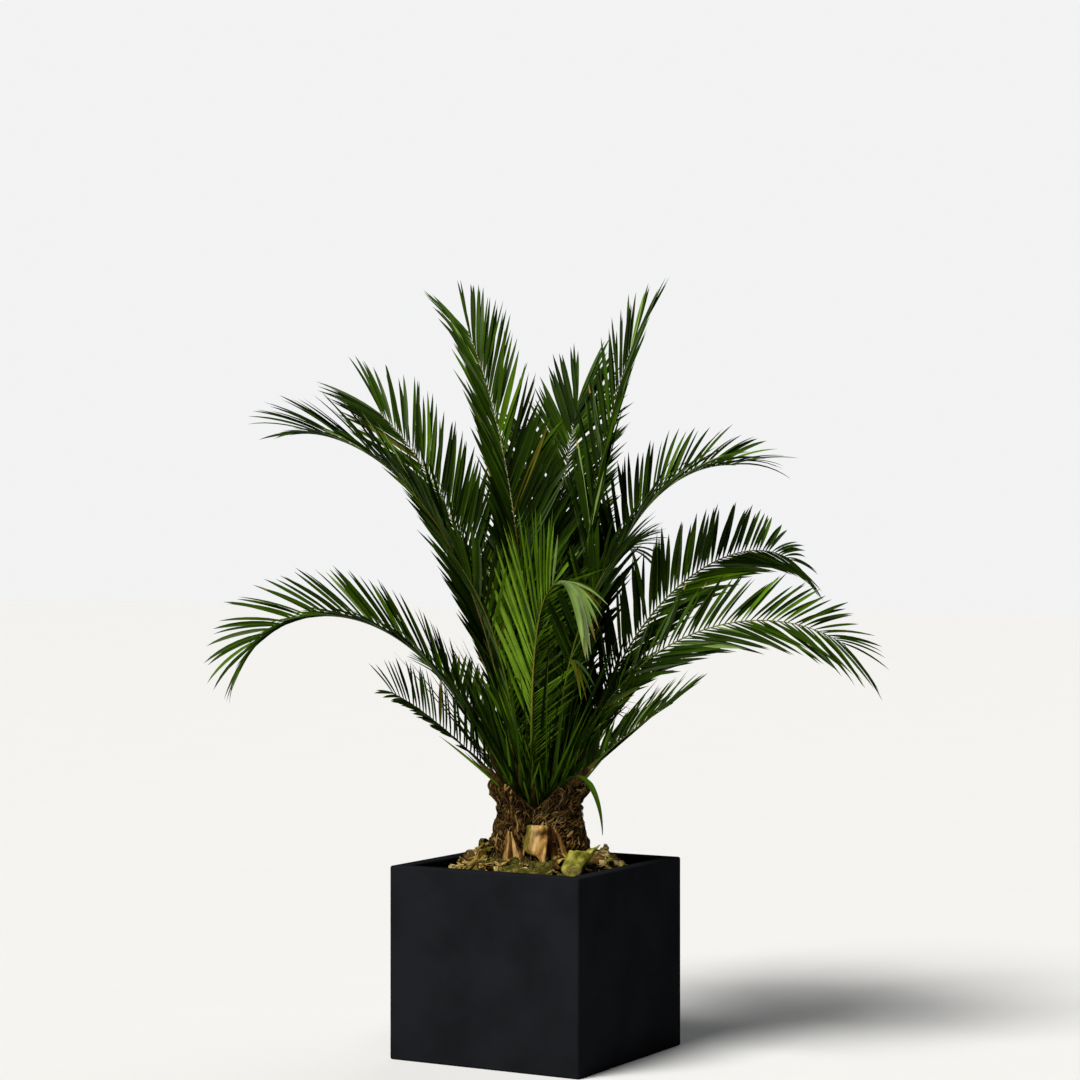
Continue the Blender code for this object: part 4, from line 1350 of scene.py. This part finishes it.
# Colour and roughness of each tint. The first seven are lit and shaded steps of one green, from the
# darkest to the brightest: the darkest are painted shade and the brightest carries a painted sheen.
LEAF_TINTS = {
    # The two darkest steps are painted shade.
    "shade_black_green": ((0.0026, 0.0062, 0.0003), 0.6),
    "deep": ((0.0066, 0.0158, 0.0005), 0.58),
    "dark": ((0.0132, 0.0315, 0.0008), 0.56),
    "mid": ((0.0265, 0.06, 0.0014), 0.55),
    "fresh": ((0.052, 0.113, 0.0022), 0.55),
    "bright": ((0.096, 0.198, 0.006), 0.5),
    "vivid": ((0.18, 0.33, 0.022), 0.48),
    # pale and soft are painted highlights, and the grey tint after them a painted sheen.
    "pale": ((0.36, 0.46, 0.19), 0.5),
    "soft": ((0.19, 0.29, 0.07), 0.5),
    "grey_green": ((0.048, 0.08, 0.022), 0.45),
    "olive": ((0.09, 0.085, 0.006), 0.6),
    "dry": ((0.24, 0.17, 0.04), 0.7),
}
LEAF_GLOSS = 0.03


def toned(colour, factor):
    return tuple(min(1.0, channel * factor) for channel in colour)


def leaf_finish(name, colour, rough):
    """A plain leaf tint whose tone drifts slowly by about a fifth."""
    stops = ((0.30, toned(colour, 0.80)), (0.70, toned(colour, 1.22)))
    return mottled(f"leaf_{name}", stops, 26.0, rough, 240.0, 0.0006, 0.35, gloss=LEAF_GLOSS)


leaf_finishes = [leaf_finish(name, *tint) for name, tint in LEAF_TINTS.items()]
LEAF_NUMBER = {name: number for number, name in enumerate(LEAF_TINTS)}
print("leaflet template:", len(leaflet_faces), "faces; tints:", ", ".join(LEAF_TINTS))

# %% How the tints are dealt
DARKEST, BRIGHTEST = LEAF_NUMBER["shade_black_green"], LEAF_NUMBER["vivid"]
# The last of these paints shade: tint steps taken off near the foot of a frond, deep in the crown.
PATCH_TONES, TONE_SPREAD, SHADE_AT_FOOT = 0.6, 0.80, 1.1
# Shares with the painted grey sheen, the soft painted highlight, the olive tint and a dry tip.
GREY_SHEEN_SHARE = 0.05
SOFT_HIGHLIGHT_SHARE = 0.012
OLIVE_SHARE = 0.006
DRY_TIPS = 0.04


def deal_tints(tone, u, generator):
    """Tints for the leaflets of a frond, with painted shade that darkens them near the foot."""
    patches = PATCH_TONES * value_noise(0 * u, u, 1, 9, generator)
    level = tone + patches + generator.normal(0, TONE_SPREAD, len(u))
    # Painted shade towards the foot.
    level = level - SHADE_AT_FOOT * (1 - np.clip(u, 0, 1)) ** 2
    tint = np.clip(np.round(level), DARKEST, BRIGHTEST).astype(int)
    lot = generator.uniform(size=len(u))
    # A few leaflets get the painted grey sheen and a few the soft painted highlight.
    tint[lot < GREY_SHEEN_SHARE] = LEAF_NUMBER["grey_green"]
    tint[lot > 1 - OLIVE_SHARE] = LEAF_NUMBER["olive"]
    tint[np.abs(lot - 0.5) < SOFT_HIGHLIGHT_SHARE / 2] = LEAF_NUMBER["soft"]
    return tint_faces(tint, generator, DRY_TIPS)


def tint_faces(tint, generator, dry_tips):
    """A finish for each face of each leaflet from its tint, some with a dry tip."""
    count = len(tint)
    faces = np.repeat(tint[:, None], len(leaflet_faces), axis=1)
    middle = leaflet_points[leaflet_faces][:, :, 2].mean(axis=1)
    dry = generator.uniform(size=count) < dry_tips
    dry_from = np.where(dry, generator.uniform(0.86, 0.95, count), 2.0)
    faces[middle[None] > dry_from[:, None]] = LEAF_NUMBER["dry"]
    return faces


print("tones run from", min(f.tone for f in FRONDS), "to", max(f.tone for f in FRONDS))

# %% The rule for leaflets
LEAFLET_WIDTH = 0.0110
NARROWER_AT_TIP = 0.30
ANGLE_SHARES = (0.0, 0.85, 1.0)
FULLEST = 0.4
SHORTER_AT_TIP = 0.10
SHORTEST_LEAFLET = 0.010
# The rib's curve is carried on this far past its tip for the leaflets that follow it.
PAST_TIP = 1.12
CLUMP_TURN = 2.2
CLUMP_SIZES, CLUMP_ODDS = (1, 2, 3, 4, 5), (0.20, 0.25, 0.25, 0.18, 0.12)
LOW_STEP = 0.0085
LOW_FROM = 0.035
# Leaflets below the leafy part have u from -LOW_U to 0.
LOW_U = 0.3
leaf_rng = np.random.default_rng(31)


def leaflet_lengths(frond, u, shorter_at_foot):
    low = 1.0 - shorter_at_foot * (np.clip(FULLEST - u, 0, None) / FULLEST) ** 2
    high = 1.0 - SHORTER_AT_TIP * (np.clip(u - FULLEST, 0, None) / (1 - FULLEST)) ** 1.5
    return frond.leaf * np.where(u < FULLEST, np.maximum(low, 0.0), high)


def clump_turns(count, generator):
    """Degrees by which each leaflet turns towards the middle of its clump of one to five."""
    turns = []
    while len(turns) < count:
        size = int(generator.choice(CLUMP_SIZES, p=CLUMP_ODDS))
        turns += [CLUMP_TURN * (place - (size - 1) / 2) for place in range(size)]
    return np.array(turns[:count])


print("widest usual leaflet:", LEAFLET_WIDTH * 1000, "mm")

# %% Rows with a style of their own
# The two rows of each frond, hand -1 on its left and 1 on its right. Angles at the foot, near the tip and
# at the tip, shares of the usual length and width, twist, sag, how much shorter the lowest leaflets are
# and the step between leaflets; then, where not the usual, how far they lift, how far the tip leaflets
# follow the rib, and a change of tone.
RowStyle = namedtuple(
    "RowStyle", "foot_angle high_angle tip_angle length width twist sag foot step lift follow tone"
)
USUAL_ROW = RowStyle(44, 30, 10, 1.0, 1.0, 13, 0.07, 0.50, 0.0120, 0, 0.6, 0)
ROW_STYLES = {
    (name, int(hand)): RowStyle(*map(float, sizes), *USUAL_ROW[len(sizes) :])
    for name, hand, *sizes in rows_of("""
    front        1 29 15 26 1.18 0.54 24 0.03 0.15  0.009   0   0
    front       -1 44 58 46 0.62 0.42 12 0.03  0.8 0.0066 -48   0 -1.5
    heart_left   1 30 20  8 1.05 0.72  8 0.04  0.5 0.0095
    heart_left  -1 30 20  8 1.05 0.72  8 0.04  0.5 0.0095
    heart_right  1 30 20  8 1.05 0.72  8 0.04  0.5 0.0095
    heart_right -1 30 20  8 1.05 0.72  8 0.04  0.5 0.0095
    centre       1 50 42 12 0.95 1.12  4 0.03  0.2 0.0074
    centre      -1 36 30 12 0.98 1.05  4 0.03  0.3 0.0078
    top_right    1 26 16 10 1.05 0.92 13    0  0.4   0.01   0 0.3
    top_right   -1 30 17  8 0.98 0.85 13    0 0.85 0.0115   0 0.3
    top_left     1 44 28 10 1.02 0.86 13 0.03  0.6  0.009
    top_left    -1 28 15 22 0.98 0.86 13 0.03  0.5 0.0094   0 0.3
    left_high    1 40 28 15    1 0.82 13 0.03  0.5 0.0088
    left_high   -1 27 20 13 0.95 0.82 13 0.04  0.5 0.0088
    left_rear    1 38 34 20 0.95 0.84 13 0.03 0.15 0.0084
    left_rear   -1 30 24 14 0.95 0.84 13 0.03  0.5 0.0092
    left_arch    1 24 38 16 0.95 0.95 13 0.03  0.3 0.0106  14
    left_arch   -1 26 20 16 0.88 0.95 10 0.06  0.4 0.0088 -40
    right_high   1 42 38 26    1 0.98 13 0.04  0.2 0.0092 -25 0.7
    right_high  -1 42 40 24 1.05 0.98 13 0.02  0.2 0.0096   0 0.4
    right_mid    1 34 26 14 0.85 0.84 13 0.06  0.2   0.01 -38
    right_mid   -1 36 42 16  0.9  0.9 13 0.03  0.1   0.01   6
    right_arch   1 38 30 14 0.85 0.84 13 0.08  0.5  0.011 -32
    right_arch  -1 44 44 16  0.9  0.9 13 0.03 0.15 0.0102   8
    left_low     1 62 46 16 0.82 1.05 13 0.03  0.3 0.0102  28
    left_low    -1 32 22 14 0.72  1.1 13 0.03  0.3 0.0086 -50
    right_low    1 34 24 12  0.9 1.05 13 0.05  0.3 0.0086
    right_low   -1 44 34 14  0.9 1.05 13 0.05  0.3 0.0086
""")
}
print("rows with their own style:", len(ROW_STYLES))


# %% A row of leaflets
def row_stations(frond, step, generator):
    """Shares t of the rib at which leaflets stand, and u, which runs from 0 to 1 up the leafy part."""
    leafy = frond.end - PETIOLE_SHARE
    count = int(round(leafy * frond.length / step))
    u = (np.arange(count) + 0.5 + generator.uniform(-0.2, 0.2, count)) / count
    t = PETIOLE_SHARE + leafy * u
    low_from = LOW_FROM / frond.length
    low = np.arange(low_from, PETIOLE_SHARE, LOW_STEP / frond.length)
    low_u = (low - PETIOLE_SHARE) / (PETIOLE_SHARE - low_from)
    return np.concatenate([low, t]), np.concatenate([LOW_U * low_u, u])


def leaflet_row(frond, hand, generator):
    """Everything about one row of leaflets on a frond, one entry for each leaflet."""
    style = ROW_STYLES.get((frond.name, hand), USUAL_ROW)
    t, u = row_stations(frond, style.step, generator)
    count = len(t)
    climb, below = np.clip(u, 0, 1), np.clip(-u / LOW_U, 0, 1)
    forward, side, normal = rib_directions(frond, t)
    angle = np.interp(climb, ANGLE_SHARES, style[:3]) - 14 * below
    angle = np.radians(angle + clump_turns(count, generator) + generator.normal(0, 1.6, count))[:, None]
    lift = np.radians(frond.lift + style.lift + generator.normal(0, 4.0, count))[:, None]
    outward = side * (hand * np.cos(lift)) + normal * np.sin(lift)
    along = forward * np.cos(angle) + outward * np.sin(angle)
    flat_up = np.cross(along, forward * np.sin(angle) - outward * np.cos(angle)) * hand
    twist = np.radians(generator.normal(style.twist, 11, count))[:, None] * hand
    up = flat_up * np.cos(twist) + np.cross(along, flat_up) * np.sin(twist)
    half_width, half_depth = rib_half_sizes(t)
    start = rib_points(frond, t) + side * (hand * 0.7 * half_width)[:, None]
    length = leaflet_lengths(frond, u, style.foot) * generator.uniform(0.92, 1.06, count)
    length = length * (1 - 0.55 * below) * style.length
    width = LEAFLET_WIDTH * (length / 0.15) ** 0.6 * generator.uniform(0.80, 1.12, count) * style.width
    width = width * (1 - NARROWER_AT_TIP * climb**1.5)
    bend = -VIEW_UP * (style.sag * length)[:, None]
    bend = bend + forward * (length * generator.normal(0.02, 0.03, count))[:, None]
    ahead = rib_directions(frond, np.clip(t + length / frond.length, 0, PAST_TIP))[0]
    bend = bend + (ahead - forward) * (0.5 * style.follow * length * climb**3)[:, None]
    return u, np.full(count, frond.tone + style.tone), start, along, up, length, width, bend


print("leaflets a side on the tallest frond:", len(leaflet_row(TALLEST, 1, np.random.default_rng(1))[0]))


# %% Leaflets of a whole frond
def blade_points(start, along, up, length, width, bend):
    """The template's points carried onto each leaflet."""
    share = leaflet_points[:, 2]
    half_width = width[:, None] / 2 * np.interp(share, PROFILE_SHARES, PROFILE_WIDTHS)[None]
    fold = 0.30 + 0.55 * (1 - share) ** 3
    thick = 0.00055 * (1 - 0.6 * share)
    half_depth = np.abs(leaflet_points[:, 0]) * fold * half_width + leaflet_points[:, 1] * thick
    return curved_copies(leaflet_points, start, along, up, length, bend, half_width, half_depth)


def copies_clear_of(points, limbs):
    """Which leaflets touch none of the limbs."""
    faces = copied_faces(points, leaflet_faces)
    surface = BVHTree.FromPolygons(points.reshape(-1, 3).tolist(), faces.tolist())
    clear = np.ones(len(points), bool)
    for limb in limbs:
        for face, _ in surface.overlap(limb):
            clear[face // len(leaflet_faces)] = False
    return clear


def limb_surface(name):
    mesh = bpy.data.objects[name].data
    return BVHTree.FromPolygons([v.co for v in mesh.vertices], [f.vertices[:] for f in mesh.polygons])


trunk_surface = limb_surface("trunk_bark")
rib_surfaces = {frond.name: limb_surface(f"rib_{frond.name}") for frond in FRONDS}
for frond in FRONDS:
    rows = [leaflet_row(frond, hand, leaf_rng) for hand in (-1, 1)]
    u, tone, *shape = (np.concatenate(both) for both in zip(*rows))
    points, tints = blade_points(*shape), deal_tints(tone, u, leaf_rng)
    grown = shape[3] > SHORTEST_LEAFLET
    points, tints = points[grown], tints[grown]
    others = [limb for name, limb in rib_surfaces.items() if name != frond.name]
    clear = copies_clear_of(points, [trunk_surface, *others])
    print(f"{frond.name}: {clear.sum()} leaflets, {(~clear).sum()} left out")
    name = f"leaflets_{frond.name}"
    strew(name, "fronds", points[clear], leaflet_faces, leaf_finishes, tints[clear], smooth=False)

# %% [markdown]
# ## Shoots in the heart
# Between the fronds the bowl of the head is packed with young shoots: single narrow blades, steep in the
# middle and leaning out towards the rim. They use the leaflet's template, and stand on the bowl's skin.

# %% Heart shoots
SHOOTS = 620
LONG_SHOOTS = 200
SHOOT_SPREAD = 0.74
SHOOT_LENGTHS, SHOOT_WIDTHS = (0.06, 0.24), (0.0032, 0.0064)
LONG_LENGTHS, LONG_WIDTHS = (0.20, 0.36), (0.0042, 0.0074)
SHOOT_TINTS = {"deep": 0.17, "dark": 0.20, "mid": 0.22, "fresh": 0.20, "bright": 0.21}
shoot_rng = np.random.default_rng(101)


def shoot_lot(low, high):
    return shoot_rng.uniform(low, high, SHOOTS)


heading = shoot_lot(0, 360)
share = np.sqrt(shoot_lot(0.01, 1)) * SHOOT_SPREAD
dip = np.interp(share, BOWL_SHARES[::-1], BOWL_SINKS[::-1])
rim = rim_height(heading)
height = rim + dip * (BOWL_FLOOR - rim) - 0.003
start = around(heading, share * trunk_radius(heading, rim), height)
outward, level = compass(heading)
tilt = np.radians(3 + 30 * share + shoot_rng.normal(0, 9, SHOOTS))[:, None]
along = VIEW_UP * np.cos(tilt) + outward * np.sin(tilt) + level * shoot_rng.normal(0, 0.30, (SHOOTS, 1))
spin = shoot_lot(0, 2 * np.pi)[:, None]
up = outward * np.cos(spin) + level * np.sin(spin)
length = shoot_lot(*SHOOT_LENGTHS) * (1.1 - 0.5 * share)
width = shoot_lot(*SHOOT_WIDTHS)
long_one = np.arange(SHOOTS) < LONG_SHOOTS
length = np.where(long_one, shoot_lot(*LONG_LENGTHS), length)
width = np.where(long_one, shoot_lot(*LONG_WIDTHS), width)
bend = outward * (length * shoot_lot(0.02, 0.16))[:, None]
shoots = blade_points(start, unit(along), up, length, width, bend)
numbers = [LEAF_NUMBER[name] for name in SHOOT_TINTS]
tint = shoot_rng.choice(numbers, SHOOTS, p=tuple(SHOOT_TINTS.values()))
tint = np.where(long_one, np.minimum(tint, LEAF_NUMBER["fresh"]) - 1, tint)
shoot_tints = tint_faces(tint, shoot_rng, 0.05)
clear = copies_clear_of(shoots, list(rib_surfaces.values()))
print("heart shoots:", clear.sum(), "of", SHOOTS)
shoots, shoot_tints = shoots[clear], shoot_tints[clear]
strew("heart_shoots", "fronds", shoots, leaflet_faces, leaf_finishes, shoot_tints, smooth=False)

# %% [markdown]
# ## Drooping leaflets
# The front frond ends in a bunch of soft leaflets that fall over: broad ones with painted pale highlights
# hang straight down, thin ones arch out to the right. A second, smaller bunch and a few dry curled threads
# hang on ribs behind it.
# Each is placed one by one: how far its straight line runs and how far its tip is bent away from that.

# %% Bunches of drooping leaflets
# A frond, and the shares of its rib between which its blades stand. A blade, in millimetres: run to the
# right, up and towards the eye, bend to the right and up, and width; then its tint.
# The pale and soft tints below are painted highlights, and the grey tint a painted sheen.
BUNCHES = {
    ("front", 0.875, 0.95): """
    50 75 -10 0 -10 6 bright
    80 40 0 12 -58 5 mid
    88 34 10 6 -64 5.2 soft
    92 28 4 6 -66 5.2 pale
    86 24 12 0 -72 4.8 olive
    88 18 16 -4 -80 5.8 soft
    88 12 14 -12 -96 10 soft
    78 10 18 -10 -118 12.5 soft
    70 6 22 -12 -136 14 pale
    63 6 28 -12 -146 14.5 pale
    57 2 32 -12 -142 13.5 soft
    53 -4 36 -12 -130 12.5 pale
    47 -12 34 -10 -112 11.5 soft
    """,
    ("front_right", 0.47, 0.485): """
    30 20 10 12 -78 6.2 mid
    26 18 12 6 -88 5.8 olive
    22 16 14 0 -92 5.6 bright
    34 20 6 14 -70 5.4 grey_green
    18 14 12 0 -80 5 olive
    """,
    ("right_mid", 0.16, 0.19): """
    50 12 30 0 4 2.2 dry
    55 4 26 4 -10 2 olive
    -20 4 30 50 -20 2.4 dry
    30 26 24 30 -30 2 dry
    40 -10 34 20 -24 2.4 olive
    -34 10 28 20 -24 1.8 dry
    10 20 30 60 -24 1.8 dry
    """,
}
for (frond_name, first, last), text in BUNCHES.items():
    blades = rows_of(text)
    table = np.array([blade[:6] for blade in blades], float) / 1000
    tint = np.array([LEAF_NUMBER[blade[6]] for blade in blades])
    frond = next(frond for frond in FRONDS if frond.name == frond_name)
    start = rib_points(frond, np.linspace(first, last, len(table)))
    run = table[:, 0:1] * VIEW_RIGHT + table[:, 1:2] * VIEW_UP + table[:, 2:3] * VIEW_BACK
    bend = table[:, 3:4] * VIEW_RIGHT + table[:, 4:5] * VIEW_UP
    up = unit(VIEW_BACK + 0.5 * VIEW_UP + 0 * run)
    points = blade_points(start, unit(run), up, np.linalg.norm(run, axis=1), table[:, 5], bend)
    tints = tint_faces(tint, shoot_rng, 0.6)
    name = f"drooping_{frond_name}"
    strew(name, "fronds", points, leaflet_faces, leaf_finishes, tints, smooth=False)

# %% [markdown]
# ## Hanging leaf
# One leaf hangs down beside the trunk, a bent ribbon folded along its middle.

# %% Hanging leaf
HANGING_LEAF = Frond(
    "hanging_leaf", 333, 0.091, 0.509, 68, 154, 0.54, -6, 0.188, 0, 0, 0, 1, 0, 0, "green"
)
HANGING_WIDTHS = (0.005, 0.015, 0.0012)
HANGING_SECTIONS = 30
t = np.linspace(0, 1, HANGING_SECTIONS)
forward, side, normal = rib_directions(HANGING_LEAF, t)
centre = rib_points(HANGING_LEAF, t)
half = np.interp(t, (0.0, 0.45, 1.0), HANGING_WIDTHS)[:, None] / 2
fold = half * (0.55 - 0.25 * t[:, None])
lower, upper = centre - normal * 0.0005, centre + normal * 0.0006
left, right = centre - side * half + normal * fold, centre + side * half + normal * fold
rings = np.stack([left, lower, right, upper], axis=1)
ribbon_tint = np.full(HANGING_SECTIONS, LEAF_NUMBER["mid"])
ribbon = tube_piece("hanging_ribbon_leaf", rings, leaf_finishes, ribbon_tint)
activate(ribbon)
bpy.ops.object.shade_flat()
settle(ribbon, "fronds", "hanging_leaf")

# %% [markdown]
# ## Finish

# %% Finish
print("the dressed plant is finished")
